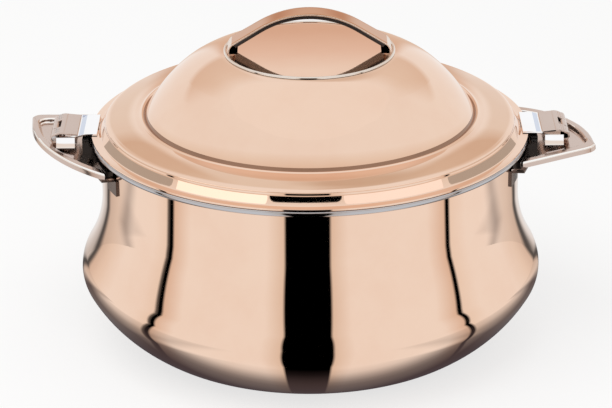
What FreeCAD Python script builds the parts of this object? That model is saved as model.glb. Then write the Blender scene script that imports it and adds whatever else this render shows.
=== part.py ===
import FreeCAD, Part
import math
import operator
import os
import Sketcher
from FreeCAD import Placement, Rotation, Vector
from types import SimpleNamespace

# Insulated casserole with a lift-off lid. Millimetres, +Z up, origin on the table under the pot's
# axis. Pot and lid are turned about Z. Each side fitting is drawn on the +X side, and the other one
# is the same fitting turned by 180 degrees.

SIZES = {
    # outer shell of the pot
    "shell_wall": 0.8,
    "shell_top_gap": 0.3,
    "neck_height": 32.9,
    "bulge_radius": 145,
    "bulge_reach": 14.4,
    "bulge_height": 45.8,
    "flare_split": 0.78,
    "under_bulge_curve": 16.6,
    "under_bulge_turn": 28,
    "belly_curve": 88,
    "belly_turn": 56,
    "foot_turn": 84,
    "shell_lift": 0.8,
    "shell_lip": 5.5,
    # base
    "cover_wall": 0.8,
    "cover_overlap": 4,
    "cover_step_gap": 4.5,
    "cover_step_slope": 3,
    "ring_setback": 2.3,
    "ring_width": 7,
    "ring_groove": 0.7,
    "plug_radius": 6,
    "plug_head": 9,
    "plug_head_height": 1.2,
    "plug_depth": 4,
    "plug_gap": 0.1,
    # inner bowl
    "bowl_wall": 0.8,
    "bowl_gap": 8.6,
    "bowl_corner": 38,
    "bowl_floor": 24,
    "rim_reach": 6,
    "rim_top": 134.7,
    "rim_curl": 1.9,
    "rim_return": 2.4,
    "rim_round": 1.5,
    "foam_gap": 0.15,
    # lid shell
    "lid_wall": 1,
    "lid_seat_gap": 0.2,
    "flange_setback": 0.4,
    "flange_width": 4.8,
    "band_rise": 5.3,
    "band_run": 3.8,
    "shoulder_run": 3.1,
    "shoulder_rise": 2.7,
    "shoulder_bow": 0.8,
    "ledge_rise": 2.2,
    "ledge_bow": 0.5,
    "ledge_width": 18.7,
    "bead_width": 3,
    "bead_bow": 0.85,
    "bead_drop": 0.7,
    "dome_side_rise": 26,
    "dome_side_run": 20.6,
    "dome_side_bow": 1.3,
    "dome_top_rise": 14.1,
    "dome_top_bow": 2.1,
    # dish and grip
    "dish_hole": 52.2,
    "dish_wall": 0.8,
    "dish_lip": 0.9,
    "dish_rise": 0.3,
    "dish_fit": 0.15,
    "dish_gap": 16.6,
    "grip_crown_height": 25.6,
    "grip_crown_curve": 60,
    "grip_crown_angle": 31.3,
    "grip_wall": 1.2,
    "grip_foot_gap": 0.8,
    "grip_bend": 2.6,
    "grip_bend_drop": 4.2,
    "grip_bend_bow": 0.42,
    "grip_tab": 5,
    "grip_tab_gap": 0.4,
    "grip_width_mid": 14.5,
    "grip_width_end": 17.5,
    "grip_slot_gap": 0.3,
    "strip_wall": 2.3,
    "strip_inset": 0.5,
    # lid insulation, liner and seal
    "liner_wall": 0.8,
    "liner_setback": 2.8,
    "liner_lift": 2.1,
    "spigot_gap": 1.6,
    "spigot_depth": 10,
    "spigot_corner": 5,
    "spigot_crown": 2.5,
    "spigot_slope": 54.4,
    "seal_width": 4.2,
    "seal_setback": 0.4,
    "seal_lip": 1.2,
    # handles
    "handle_tilt": 6.84,
    "handle_drop": 3.3,
    "lip_root_gap": 1.4,
    "plate_depth": 3.8,
    "pan_depth": 2.8,
    "back_angle": 24.9,
    "front_angle": 20.6,
    "tip_reach": 45.8,
    "tip_y": 21,
    "near_tip_back": 5.6,
    "near_tip_y": 32.4,
    "tip_bow": 3,
    "edge_bow": 13.3,
    "lip_width": 5.4,
    "pan_tip_y": 6.5,
    "pan_near_x": 3.2,
    "pan_near_y": 6.9,
    "pan_front_turn": 5.2,
    "pan_back_turn": 4.4,
    "pan_corner_bow": 2.2,
    "pan_edge_bow": 9.3,
    "edge_round": 1.2,
    # bracket and strap that carry the handle
    "bracket_gap": 0.3,
    "bracket_setback": 1,
    "bracket_rise": 1.1,
    "bracket_end_angle": 0.6,
    "saddle_reach": 5.4,
    "saddle_side": 1.5,
    "saddle_gap": 0.9,
    "strap_wall": 1.2,
    "strap_reach": 8.5,
    "strap_drop": 10,
    "strap_front_past": 0.4,
    "strap_back_past": 1.6,
    "leg_drop": 15,
    "leg_angle": 7,
    "screw_radius": 1.6,
    "screw_head": 2.7,
    "screw_head_height": 1.9,
    "screw_bite": 3,
    "screw_reach": 4,
    "screw_front_inset": 4.1,
    "screw_back_inset": 3.4,
    "screw_gap": 0.15,
    # clip
    "clip_width": 34,
    "clip_wall": 1,
    "clip_gap": 0.35,
    "hook_grip": 4.5,
    "hook_reach": 3.1,
    "hook_step_run": 3.7,
    "hook_step_drop": 1.1,
    "hook_tail": 8,
    "tail_rise": 0.85,
    "lever_lap": 0.4,
    "lever_bow": 0.7,
    "pin_reach": 6.9,
    "pin_drop": 2.05,
    "pin_radius": 1.6,
    "pin_gap": 0.06,
    "pin_recess": 0.8,
    "roll_opening": 20,
    "rivet_radius": 1.5,
    "rivet_head": 2.4,
    "rivet_head_height": 0.7,
    "rivet_spread": 9,
    "knuckle_width": 11,
    "knuckle_gap": 0.3,
    "knuckle_slot": 3.2,
    "hinge_foot_wall": 1,
    "hinge_foot": 11,
}

doc = FreeCAD.newDocument("Casserole")
sheet = doc.addObject("Spreadsheet::Sheet", "Sizes")
for row, (alias, number) in enumerate(SIZES.items(), start=1):
    sheet.set(f"A{row}", alias)
    sheet.set(f"B{row}", str(number))
    sheet.setAlias(f"B{row}", alias)
doc.recompute()


# ---------------------------------------------------------------- sizes that follow the sheet

class Size:
    """A length or an angle: its number now, and the formula of sheet cells that keeps it true."""

    def __init__(self, number, formula):
        self.number = number
        self.formula = formula

    def __add__(self, other):
        return combined("+", self, other)

    def __radd__(self, other):
        return combined("+", other, self)

    def __sub__(self, other):
        return combined("-", self, other)

    def __rsub__(self, other):
        return combined("-", other, self)

    def __mul__(self, other):
        return combined("*", self, other)

    def __rmul__(self, other):
        return combined("*", other, self)

    def __truediv__(self, other):
        return combined("/", self, other)

    def __neg__(self):
        return combined("*", -1, self)


OPERATIONS = {"+": operator.add, "-": operator.sub, "*": operator.mul, "/": operator.truediv}


def as_size(thing):
    return thing if isinstance(thing, Size) else Size(thing, str(thing))


def combined(sign, first, second):
    first, second = as_size(first), as_size(second)
    number = OPERATIONS[sign](first.number, second.number)
    return Size(number, f"({first.formula} {sign} {second.formula})")


def square(length):
    return Size(length.number ** 2, f"({length.formula}^2)")


def root(area):
    return Size(math.sqrt(area.number), f"sqrt({area.formula})")


def sin(angle):
    angle = as_size(angle)
    return Size(math.sin(math.radians(angle.number)), f"sin({angle.formula})")


def cos(angle):
    angle = as_size(angle)
    return Size(math.cos(math.radians(angle.number)), f"cos({angle.formula})")


def tan(angle):
    return sin(angle) / cos(angle)


def atan(ratio):
    return Size(math.degrees(math.atan(ratio.number)), f"atan({ratio.formula})")


size = SimpleNamespace(**{alias: Size(number, f"Sizes.{alias}") for alias, number in SIZES.items()})


# ---------------------------------------------------------------- bodies, sketches and features

PARTS = []


def new_body(label, turn=0):
    """A body that is one piece, turned about the pot's axis."""
    body = doc.addObject("PartDesign::Body", label)
    body.Label = label
    body.Placement = Placement(Vector(), Rotation(Vector(0, 0, 1), turn))
    PARTS.append(body)
    return body


def new_sketch(body, name, role="XZ_Plane", lift=None):
    """A sketch on one of the body's origin planes, lifted along the plane's normal."""
    sketch = body.newObject("Sketcher::SketchObject", f"{body.Name}_{name}")
    plane = next(plane for plane in body.Origin.OriginFeatures if plane.Role == role)
    sketch.AttachmentSupport = (plane, [""])
    sketch.MapMode = "FlatFace"
    if lift:
        sketch.setExpression("AttachmentOffset.Base.z", lift.formula)
    return sketch


def tilted_sketch(body, name, lift):
    """A sketch on a plane that climbs outwards as the handle does."""
    sketch = new_sketch(body, name, "XY_Plane")
    sketch.AttachmentOffset = Placement(Vector(), Rotation(Vector(0, -1, 0), 1))
    sketch.setExpression("AttachmentOffset.Rotation.Angle", f"{size.handle_tilt.formula} * 1 deg")
    sketch.setExpression("AttachmentOffset.Base.z", lift.formula)
    return sketch


def hold(sketch, edge, end, place):
    """Tie one end of an edge, or a circle's centre, to its place."""
    for kind, distance, axis in zip(("DistanceX", "DistanceY"), place, (-2, -1)):
        distance = as_size(distance)
        if abs(distance.number) < 1e-9:
            sketch.addConstraint(Sketcher.Constraint("PointOnObject", edge, end, axis))
            continue
        datum = Sketcher.Constraint(kind, -1, 1, edge, end, distance.number)
        index = sketch.addConstraint(datum)
        sketch.setExpression(f"Constraints[{index}]", distance.formula)


def hold_radius(sketch, edge, radius):
    index = sketch.addConstraint(Sketcher.Constraint("Radius", edge, radius.number))
    sketch.setExpression(f"Constraints[{index}]", radius.formula)


def point(corner):
    return Vector(as_size(corner[0]).number, as_size(corner[1]).number, 0)


def draw(sketch, *corners):
    """A closed outline. A corner is (x, y) or (x, y, bow), where the bow is how far the edge that
    leaves it bends away from a straight line, to the left of the way round when positive."""
    first = sketch.GeometryCount
    edges = list(zip(corners, (*corners[1:], corners[0])))
    ends = []
    for corner, after in edges:
        start, end = point(corner), point(after)
        if len(corner) == 2:
            sketch.addGeometry(Part.LineSegment(start, end))
            ends.append((1, 2))
            continue
        left = Vector(start.y - end.y, end.x - start.x, 0).normalize()
        middle = (start + end) * 0.5 + left * corner[2].number
        sketch.addGeometry(Part.Arc(start, middle, end))
        ends.append((2, 1) if corner[2].number > 0 else (1, 2))
    for index in range(len(edges)):
        after = (index + 1) % len(edges)
        sketch.addConstraint(Sketcher.Constraint(
            "Coincident", first + index, ends[index][1], first + after, ends[after][0]))
    for index, (corner, after) in enumerate(edges):
        hold(sketch, first + index, ends[index][0], corner[:2])
    for index, (corner, after) in enumerate(edges):
        if len(corner) == 3:
            chord = square(as_size(after[0] - corner[0])) + square(as_size(after[1] - corner[1]))
            bow = corner[2] if corner[2].number > 0 else -corner[2]
            hold_radius(sketch, first + index, chord / (8 * bow) + bow / 2)


def draw_circle(sketch, centre, radius):
    circle = Part.Circle(point(centre), Vector(0, 0, 1), radius.number)
    index = sketch.addGeometry(circle)
    hold(sketch, index, 3, centre)
    hold_radius(sketch, index, radius)


def draw_box(sketch, low, high):
    draw(sketch, low, (high[0], low[1]), high, (low[0], high[1]))


def revolve(body, *corners):
    """Turn an outline of the XZ plane about the pot's axis."""
    sketch = new_sketch(body, "section")
    draw(sketch, *corners)
    turned = body.newObject("PartDesign::Revolution", f"{body.Name}_turned")
    turned.Profile = sketch
    turned.ReferenceAxis = (sketch, ["V_Axis"])
    turned.Angle = 360
    doc.recompute()


def pad(body, sketch, length, both=False, down=False):
    feature = body.newObject("PartDesign::Pad", f"{sketch.Name}_pad")
    feature.Profile = sketch
    feature.setExpression("Length", length.formula)
    feature.Midplane = both
    feature.Reversed = down
    doc.recompute()
    return feature


def pocket(body, sketch, length, both=False, up=False):
    """Cut along a sketch's outline, and stop if nothing was cut."""
    before = body.Shape.Volume
    feature = body.newObject("PartDesign::Pocket", f"{sketch.Name}_pocket")
    feature.Profile = sketch
    feature.setExpression("Length", length.formula)
    feature.Midplane = both
    feature.Reversed = up
    doc.recompute()
    if body.Shape.Volume >= before - 1e-3:
        raise RuntimeError(f"{feature.Name} cut nothing")


def cylinder(name, radius, height, base, lean):
    """A cylinder that stands on its base and leans towards the pot's axis."""
    solid = doc.addObject("Part::Cylinder", name)
    solid.setExpression("Radius", radius.formula)
    solid.setExpression("Height", height.formula)
    solid.Placement = Placement(Vector(), Rotation(Vector(0, -1, 0), 1))
    solid.setExpression("Placement.Rotation.Angle", f"{lean.formula} * 1 deg")
    for axis, distance in zip("xyz", base):
        solid.setExpression(f"Placement.Base.{axis}", distance.formula)
    return solid


def stud(name, seat, lean, shank, head):
    """A screw or rivet: its head below the seat and its shank above. Each is (radius, length)."""
    x, y, z = seat
    below = (x + head[1] * sin(lean), y, z - head[1] * cos(lean))
    solid = doc.addObject("Part::Fuse", name)
    solid.Base = cylinder(f"{name}_shank", *shank, seat, lean)
    solid.Tool = cylinder(f"{name}_head", *head, below, lean)
    return solid


def group(label, solids, turn):
    """Separate equal solids in one node."""
    joined = doc.addObject("Part::Compound", label)
    joined.Links = solids
    joined.Label = label
    joined.Placement = Placement(Vector(), Rotation(Vector(0, 0, 1), turn))
    PARTS.append(joined)


def arc_bow(radius, angle):
    """How far an arc bows from its chord."""
    return radius * (1 - cos(angle / 2))


def quarter_bow(radius):
    return arc_bow(radius, 90)


def back_along(corners):
    """The same line walked the other way, each corner with the bow of the edge it now leaves."""
    walked = []
    for index in reversed(range(len(corners))):
        before = corners[index - 1] if index else ()
        bow = (-before[2],) if len(before) == 3 else ()
        walked.append((*corners[index][:2], *bow))
    return walked


# ---------------------------------------------------------------- pot

# The bulge is the pot's widest ring. The neck stands back from it; rim, lid and handles follow the
# neck, and the base follows the foot of the wall.
NECK = size.bulge_radius - size.bulge_reach
RIM = NECK + size.rim_reach
RIM_UNDER = size.rim_top - 2 * size.rim_curl
NECK_FOOT = RIM_UNDER - size.neck_height
SHELL_TOP = size.rim_top - size.bowl_wall - size.shell_top_gap
BOWL_SIDE = NECK - size.bowl_gap


def wall_line(inset):
    """Corners down the pot's wall, from the neck's foot to the base, `inset` inside its face."""
    rise = NECK_FOOT - size.bulge_height
    run = size.bulge_reach
    turn = 2 * atan(run / rise)
    curve = (square(run) + square(rise)) / (2 * run)
    flare = size.flare_split * curve
    swell = (1 - size.flare_split) * curve
    bend = (NECK + size.flare_split * run, NECK_FOOT - size.flare_split * rise)
    first, second, third = size.under_bulge_turn, size.belly_turn, size.foot_turn
    under, belly = size.under_bulge_curve, size.belly_curve
    waist = (size.bulge_radius - under * (1 - cos(first)), size.bulge_height - under * sin(first))
    keel = (waist[0] - belly * (cos(first) - cos(second)), waist[1] - belly * (sin(second) - sin(first)))
    heel = (keel[1] - size.shell_lift) / (sin(third) - sin(second))
    foot = (keel[0] - heel * (cos(second) - cos(third)), size.shell_lift)
    return [
        (NECK - inset, NECK_FOOT, -arc_bow(flare + inset, turn)),
        (bend[0] - inset * cos(turn), bend[1] - inset * sin(turn), arc_bow(swell - inset, turn)),
        (size.bulge_radius - inset, size.bulge_height, arc_bow(under - inset, first)),
        (waist[0] - inset * cos(first), waist[1] + inset * sin(first),
         arc_bow(belly - inset, second - first)),
        (keel[0] - inset * cos(second), keel[1] + inset * sin(second),
         arc_bow(heel - inset, third - second)),
        (foot[0] - inset * cos(third), foot[1] + inset * sin(third)),
    ]


OUTSIDE = wall_line(0)
INSIDE = wall_line(size.shell_wall)
FOAM_SIDE = wall_line(size.shell_wall + size.foam_gap)
SHELL_LIP = OUTSIDE[-1][0] - size.shell_lip
SEAT = INSIDE[-1][1]
RING_OUTER = SHELL_LIP - size.ring_setback
RING_INNER = RING_OUTER - size.ring_width
FOAM_BOTTOM = FOAM_SIDE[4][1]
COVER_UNDER = FOAM_BOTTOM - size.cover_wall
PLUG_HOLE = size.plug_radius + size.plug_gap


def outer_shell():
    """The bellied wall, turned in at its foot."""
    revolve(
        new_body("outer_shell"),
        (NECK, SHELL_TOP), *OUTSIDE,
        (SHELL_LIP, size.shell_lift), (SHELL_LIP, SEAT),
        *back_along(INSIDE), (NECK - size.shell_wall, SHELL_TOP),
    )


def base_cover():
    """A dished cover that closes the foot, with a hole for filling in the foam."""
    edge = SHELL_LIP + size.cover_overlap
    step = RING_INNER - size.cover_step_gap
    centre = step - size.cover_step_slope
    revolve(
        new_body("base_cover"),
        (PLUG_HOLE, COVER_UNDER), (centre, COVER_UNDER), (step, SEAT), (edge, SEAT),
        (edge, SEAT + size.cover_wall), (step, SEAT + size.cover_wall),
        (centre, FOAM_BOTTOM), (PLUG_HOLE, FOAM_BOTTOM),
    )


def foot_ring():
    inner, outer, groove = RING_INNER, RING_OUTER, size.ring_groove
    revolve(
        new_body("foot_ring"),
        (inner, SEAT), (inner, groove), (inner + groove, 0), (outer - groove, 0),
        (outer, groove), (outer, SEAT),
    )


def fill_plug():
    low, top = COVER_UNDER - size.plug_head_height, FOAM_BOTTOM + size.plug_depth
    revolve(
        new_body("fill_plug"),
        (0, low), (size.plug_head, low), (size.plug_head, COVER_UNDER),
        (size.plug_radius, COVER_UNDER), (size.plug_radius, top), (0, top),
    )


def body_insulation():
    """Foam that fills the space between shell, bowl and cover."""
    skin = size.bowl_wall + size.foam_gap
    well_top = FOAM_BOTTOM + size.plug_depth + size.plug_gap
    well_side = PLUG_HOLE + size.plug_gap
    top = SHELL_TOP - size.foam_gap
    revolve(
        new_body("body_insulation"),
        (NECK - size.shell_wall - size.foam_gap, top), *FOAM_SIDE[:4], FOAM_SIDE[4][:2],
        (well_side, FOAM_BOTTOM), (well_side, well_top), (0, well_top), (0, size.bowl_floor - skin),
        (BOWL_SIDE - size.bowl_corner, size.bowl_floor - skin, -quarter_bow(size.bowl_corner + skin)),
        (BOWL_SIDE + skin, size.bowl_floor + size.bowl_corner), (BOWL_SIDE + skin, top),
    )


def inner_bowl():
    """The food bowl. Its edge runs out over the shell and curls under as the rim."""
    side, wall, top = BOWL_SIDE, size.bowl_wall, size.rim_top
    curl_x, curl_mid = RIM - size.rim_curl, top - size.rim_curl
    flat = side - size.bowl_corner
    corner_top = size.bowl_floor + size.bowl_corner
    inner_curl = -quarter_bow(size.rim_curl - wall)
    revolve(
        new_body("inner_bowl"),
        (0, size.bowl_floor), (flat, size.bowl_floor, -quarter_bow(size.bowl_corner)),
        (side, corner_top), (side, top - size.rim_round, quarter_bow(size.rim_round)),
        (side + size.rim_round, top), (curl_x, top, quarter_bow(size.rim_curl)),
        (RIM, curl_mid, quarter_bow(size.rim_curl)), (curl_x, RIM_UNDER),
        (curl_x - size.rim_return, RIM_UNDER), (curl_x - size.rim_return, RIM_UNDER + wall),
        (curl_x, RIM_UNDER + wall, inner_curl), (RIM - wall, curl_mid, inner_curl),
        (curl_x, top - wall),
        (side + size.rim_round, top - wall, -quarter_bow(size.rim_round - wall)),
        (side + wall, top - size.rim_round),
        (side + wall, corner_top, quarter_bow(size.bowl_corner + wall)),
        (flat, size.bowl_floor - wall), (0, size.bowl_floor - wall),
    )


# ---------------------------------------------------------------- lid

FLANGE_TOP = size.rim_top + size.lid_seat_gap + size.lid_wall
FLANGE_EDGE = (RIM - size.flange_setback, FLANGE_TOP)
BAND_FOOT = (FLANGE_EDGE[0] - size.flange_width, FLANGE_TOP)
BAND_TOP = (BAND_FOOT[0] - size.band_run, FLANGE_TOP + size.band_rise)
LEDGE_END = (BAND_TOP[0] - size.shoulder_run, BAND_TOP[1] + size.shoulder_rise)
LEDGE_TOP = LEDGE_END[1] + size.ledge_rise
BEAD_OUTER = LEDGE_END[0] - size.ledge_width
GROOVE = (BEAD_OUTER - size.bead_width, LEDGE_TOP - size.bead_drop)
DOME_MID = (GROOVE[0] - size.dome_side_run, GROOVE[1] + size.dome_side_rise)
HOLE_HEIGHT = DOME_MID[1] + size.dome_top_rise
LID_TOP = [
    (size.dish_hole, HOLE_HEIGHT, size.dome_top_bow),
    (*DOME_MID, size.dome_side_bow),
    (*GROOVE, size.bead_bow),
    (BEAD_OUTER, LEDGE_TOP, size.ledge_bow),
    (*LEDGE_END, size.shoulder_bow),
    BAND_TOP,
    BAND_FOOT,
]


def fall(start, end):
    """How steeply the lid falls from one corner to the next."""
    return atan((start[1] - end[1]) / (end[0] - start[0]))


def lid_line(depth):
    """Corners of a face `depth` inside the lid's top, from the dish hole out to the flange."""
    x, z, bow = LID_TOP[0]
    line = [(x, z - depth / cos(fall(*LID_TOP[:2])), bow)]
    for before, corner, after in zip(LID_TOP, LID_TOP[1:], (*LID_TOP[2:], FLANGE_EDGE)):
        above, below = fall(before, corner), fall(corner, after)
        lean = (above + below) / 2
        mitre = depth / cos((above - below) / 2)
        line.append((corner[0] - mitre * sin(lean), corner[1] - mitre * cos(lean), *corner[2:]))
    return line


def lid_shell():
    """The lid's pressing: a dome, a bead at its foot, a ledge, a steep band and a flat flange."""
    revolve(
        new_body("lid_shell"),
        *LID_TOP, FLANGE_EDGE, (FLANGE_EDGE[0], FLANGE_TOP - size.lid_wall),
        *back_along(lid_line(size.lid_wall)),
    )


# The dish's rolled lip laps over the edge of the lid's hole and stands just above its flat floor.
DISH_OUTER = size.dish_hole - size.dish_fit
DISH_INNER = DISH_OUTER - size.dish_wall
DISH_FLOOR = HOLE_HEIGHT + size.dish_rise

# The grip's strap: a round crown, straight flanks, and legs that stand in slots in the dish.
GRIP_X = DISH_INNER - size.grip_foot_gap
GRIP_TOP = HOLE_HEIGHT + size.grip_crown_height


def crown_corner(inset):
    """Where the strap's round crown meets its straight flank, `inset` below its upper face."""
    curve = size.grip_crown_curve - inset
    centre = GRIP_TOP - size.grip_crown_curve
    return (curve * sin(size.grip_crown_angle), centre + curve * cos(size.grip_crown_angle))


def crown_bow(inset):
    return arc_bow(size.grip_crown_curve - inset, 2 * size.grip_crown_angle)


def flank_end(inset, back):
    """A corner down the flank, `back` inside the leg's outer face."""
    crown, x = crown_corner(inset), GRIP_X - back
    return (x, crown[1] - (x - crown[0]) * tan(size.grip_crown_angle))


def mirrored(corner):
    return (-corner[0], corner[1])


LEG_INNER = GRIP_X - size.grip_wall
TAB_X = LEG_INNER - size.grip_tab
TAB_TOP = DISH_FLOOR - size.dish_wall - size.grip_tab_gap


def lid_dish():
    """The flat dish with its rolled lip, and the two slots for the grip's legs."""
    body = new_body("lid_dish")
    wall = size.dish_wall
    lip, lip_base = size.dish_lip, HOLE_HEIGHT + size.dish_wall / 2
    rest = HOLE_HEIGHT + size.dish_fit
    revolve(
        body,
        (0, DISH_FLOOR), (DISH_INNER, DISH_FLOOR),
        (DISH_INNER, lip_base, quarter_bow(lip)), (DISH_INNER + lip, lip_base + lip, quarter_bow(lip)),
        (DISH_INNER + 2 * lip, lip_base), (DISH_INNER + 2 * lip, HOLE_HEIGHT),
        (size.dish_hole + size.dish_fit, rest), (DISH_OUTER, rest),
        (DISH_OUTER, DISH_FLOOR - wall / 2), (DISH_INNER, DISH_FLOOR - wall),
        (0, DISH_FLOOR - wall),
    )
    sketch = new_sketch(body, "slots", "XY_Plane", DISH_FLOOR)
    gap = size.grip_slot_gap
    half = size.grip_width_end / 2 + gap
    draw_box(sketch, (LEG_INNER - gap, -half), (GRIP_X + gap, half))
    draw_box(sketch, (-GRIP_X - gap, -half), (gap - LEG_INNER, half))
    pocket(body, sketch, 2 * size.dish_wall, both=True)


def trim_to_waist(body, middle, end):
    """Trim a strip that runs along X: `middle` wide at its crown and `end` wide at its ends."""
    sketch = new_sketch(body, "waist", "XY_Plane")
    reach = GRIP_X + size.grip_bend
    outside = end + size.grip_bend
    bow = (end - middle) / 2
    draw(sketch, (-reach, end / 2, -bow), (reach, end / 2), (reach, outside), (-reach, outside))
    draw(sketch, (reach, -end / 2, -bow), (-reach, -end / 2), (-reach, -outside), (reach, -outside))
    pocket(body, sketch, 3 * GRIP_TOP, both=True)


def grip_strap():
    """The bent steel strap, with a tab turned in under the dish at the end of each leg."""
    body = new_body("grip_strap")
    wall = size.grip_wall
    outer_bend, inner_bend = flank_end(as_size(0), size.grip_bend), flank_end(wall, size.grip_bend)
    leg_top = outer_bend[1] - size.grip_bend_drop
    inside = [
        (GRIP_X, TAB_TOP - wall), (TAB_X, TAB_TOP - wall), (TAB_X, TAB_TOP), (LEG_INNER, TAB_TOP),
        (LEG_INNER, leg_top), inner_bend,
    ]
    crown, under_crown = crown_corner(as_size(0)), crown_corner(wall)
    sketch = new_sketch(body, "side")
    draw(
        sketch,
        (GRIP_X, leg_top), *inside, (*under_crown, -crown_bow(wall)), mirrored(under_crown),
        *(mirrored(corner) for corner in reversed(inside)),
        (-GRIP_X, leg_top, size.grip_bend_bow), mirrored(outer_bend),
        (*mirrored(crown), crown_bow(as_size(0))), crown, (*outer_bend, size.grip_bend_bow),
    )
    pad(body, sketch, size.grip_width_end, both=True)
    trim_to_waist(body, size.grip_width_mid, size.grip_width_end)


def grip_liner():
    """A dark strip along the strap's underside."""
    body = new_body("grip_liner")
    upper, lower = size.grip_wall, size.grip_wall + size.strip_wall
    back = size.grip_wall + size.grip_bend
    sketch = new_sketch(body, "side")
    draw(
        sketch,
        flank_end(upper, back), flank_end(lower, back), (*crown_corner(lower), -crown_bow(lower)),
        mirrored(crown_corner(lower)), mirrored(flank_end(lower, back)),
        mirrored(flank_end(upper, back)), (*mirrored(crown_corner(upper)), crown_bow(upper)),
        crown_corner(upper),
    )
    pad(body, sketch, size.grip_width_end, both=True)
    trim_to_waist(body, size.grip_width_mid - 2 * size.strip_inset,
                  size.grip_width_end - 2 * size.strip_inset)


LINER_UNDER = size.rim_top + size.liner_lift
LINER_TOP = LINER_UNDER + size.liner_wall
LINER_EDGE = BAND_FOOT[0] - size.liner_setback
SPIGOT_RADIUS = BOWL_SIDE - size.spigot_gap
SPIGOT_LOW = size.rim_top - size.spigot_depth


def spigot_line(depth):
    """Corners up the liner's tray, from its middle to its wall, `depth` inside its outer face."""
    corner = size.spigot_corner - depth
    side, low = SPIGOT_RADIUS - depth, SPIGOT_LOW + depth
    flat = SPIGOT_RADIUS - size.spigot_corner - size.spigot_slope
    return [
        (0, low + size.spigot_crown), (flat, low),
        (side - corner, low, -quarter_bow(corner)), (side, low + corner),
    ]


def lid_liner():
    """The inner pan of the lid: a flange over the rim and a tray that dips into the bowl."""
    revolve(
        new_body("lid_liner"),
        *spigot_line(0), (SPIGOT_RADIUS, LINER_UNDER), (LINER_EDGE, LINER_UNDER),
        (LINER_EDGE, LINER_TOP), (SPIGOT_RADIUS - size.liner_wall, LINER_TOP),
        *back_along(spigot_line(size.liner_wall)),
    )


def lid_insulation():
    """Foam between the lid's shell, its inner pan and the dish."""
    top = DISH_FLOOR - size.dish_wall - size.dish_gap
    skin = size.liner_wall + size.foam_gap
    dome = lid_line(size.lid_wall + size.foam_gap)[2:6]
    ledge = LINER_TOP + size.foam_gap
    revolve(
        new_body("lid_insulation"),
        (0, top), (DOME_MID[0], top), *dome, (dome[-1][0], ledge), (SPIGOT_RADIUS - skin, ledge),
        *back_along(spigot_line(skin)),
    )


def lid_gasket():
    """The seal under the liner's flange, with a slanted outer lip."""
    outer = LINER_EDGE - size.seal_setback
    inner, low = outer - size.seal_width, size.rim_top + size.lid_seat_gap
    revolve(
        new_body("lid_gasket"),
        (inner, LINER_UNDER), (inner, low), (outer - size.seal_lip, low),
        (outer, size.rim_top + size.seal_lip), (outer, LINER_UNDER),
    )


# ---------------------------------------------------------------- side fittings

# The handle lies on a plane that climbs outwards. The heights of its planes are taken on the axis.
TILT = size.handle_tilt
ROOT = NECK + size.strap_wall
ROOT_HEIGHT = RIM_UNDER - size.handle_drop
LIP_ROOT = RIM + size.lip_root_gap
LIP_PLANE = ROOT_HEIGHT - ROOT * tan(TILT)
PAN_PLANE = LIP_PLANE - size.pan_depth / cos(TILT)
UNDER_PLANE = LIP_PLANE - size.plate_depth / cos(TILT)
STRAP_PLANE = UNDER_PLANE - size.strap_wall / cos(TILT)
FRONT, BACK = -size.front_angle, size.back_angle
SCREW_ANGLES = (FRONT + size.screw_front_inset, BACK - size.screw_back_inset)
SCREW_RING = ROOT + size.screw_reach
SHANK = size.strap_wall + size.plate_depth - size.pan_depth + size.screw_bite
TIP = (NECK + size.tip_reach, -size.tip_y)
NEAR_TIP = (TIP[0] - size.near_tip_back, -size.near_tip_y)
SADDLE_BACK = RIM + size.saddle_reach
SADDLE_WIDTH = size.clip_width + 2 * size.saddle_side
HOOK_UNDER = FLANGE_TOP + size.clip_gap
HOOK_TIP = FLANGE_EDGE[0] - size.hook_grip
HOOK_BEND = RIM + size.hook_reach
HOOK_STEP = HOOK_BEND + size.hook_step_run
PIN_HOLE = size.pin_radius + size.pin_gap
ROLL = PIN_HOLE + size.clip_wall
TAIL_END = HOOK_STEP + size.hook_tail
PIN_X = TAIL_END + size.pin_reach
PIN_HEIGHT = HOOK_UNDER - size.pin_drop


def ring_point(radius, angle):
    return (radius * cos(angle), radius * sin(angle))


def ring_edge(radius, start, end):
    """The corner of a ring at `start`, with the bow of the arc that runs on to `end`."""
    turn = end - start
    bow = arc_bow(radius, turn)
    return (*ring_point(radius, start), -bow if turn.number > 0 else bow)


def draw_sector(sketch, inner, outer, start, end):
    draw(sketch, ring_edge(inner, end, start), ring_point(inner, start),
         ring_edge(outer, start, end), ring_point(outer, end))


def height_at(plane, x):
    """Height of a tilted plane at a distance from the axis."""
    return plane + x * tan(TILT)


def drill(body, radius, depth):
    """The holes of the handle's screws, up from the strap's underside."""
    holes = tilted_sketch(body, "holes", STRAP_PLANE)
    for angle in SCREW_ANGLES:
        draw_circle(holes, ring_point(SCREW_RING, angle), radius)
    pocket(body, holes, depth, up=True)


def lip_edges(plate):
    """The plate's upper outline outside its root."""
    slope = math.tan(math.radians(TILT.number))
    found = []
    for index, edge in enumerate(plate.Shape.Edges, start=1):
        middle = edge.valueAt((edge.FirstParameter + edge.LastParameter) / 2)
        points = [vertex.Point for vertex in edge.Vertexes] + [middle]
        level = all(abs(place.z - LIP_PLANE.number - place.x * slope) < 1e-3 for place in points)
        if level and math.hypot(middle.x, middle.y) > LIP_ROOT.number + 1:
            found.append(f"Edge{index}")
    return found


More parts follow.
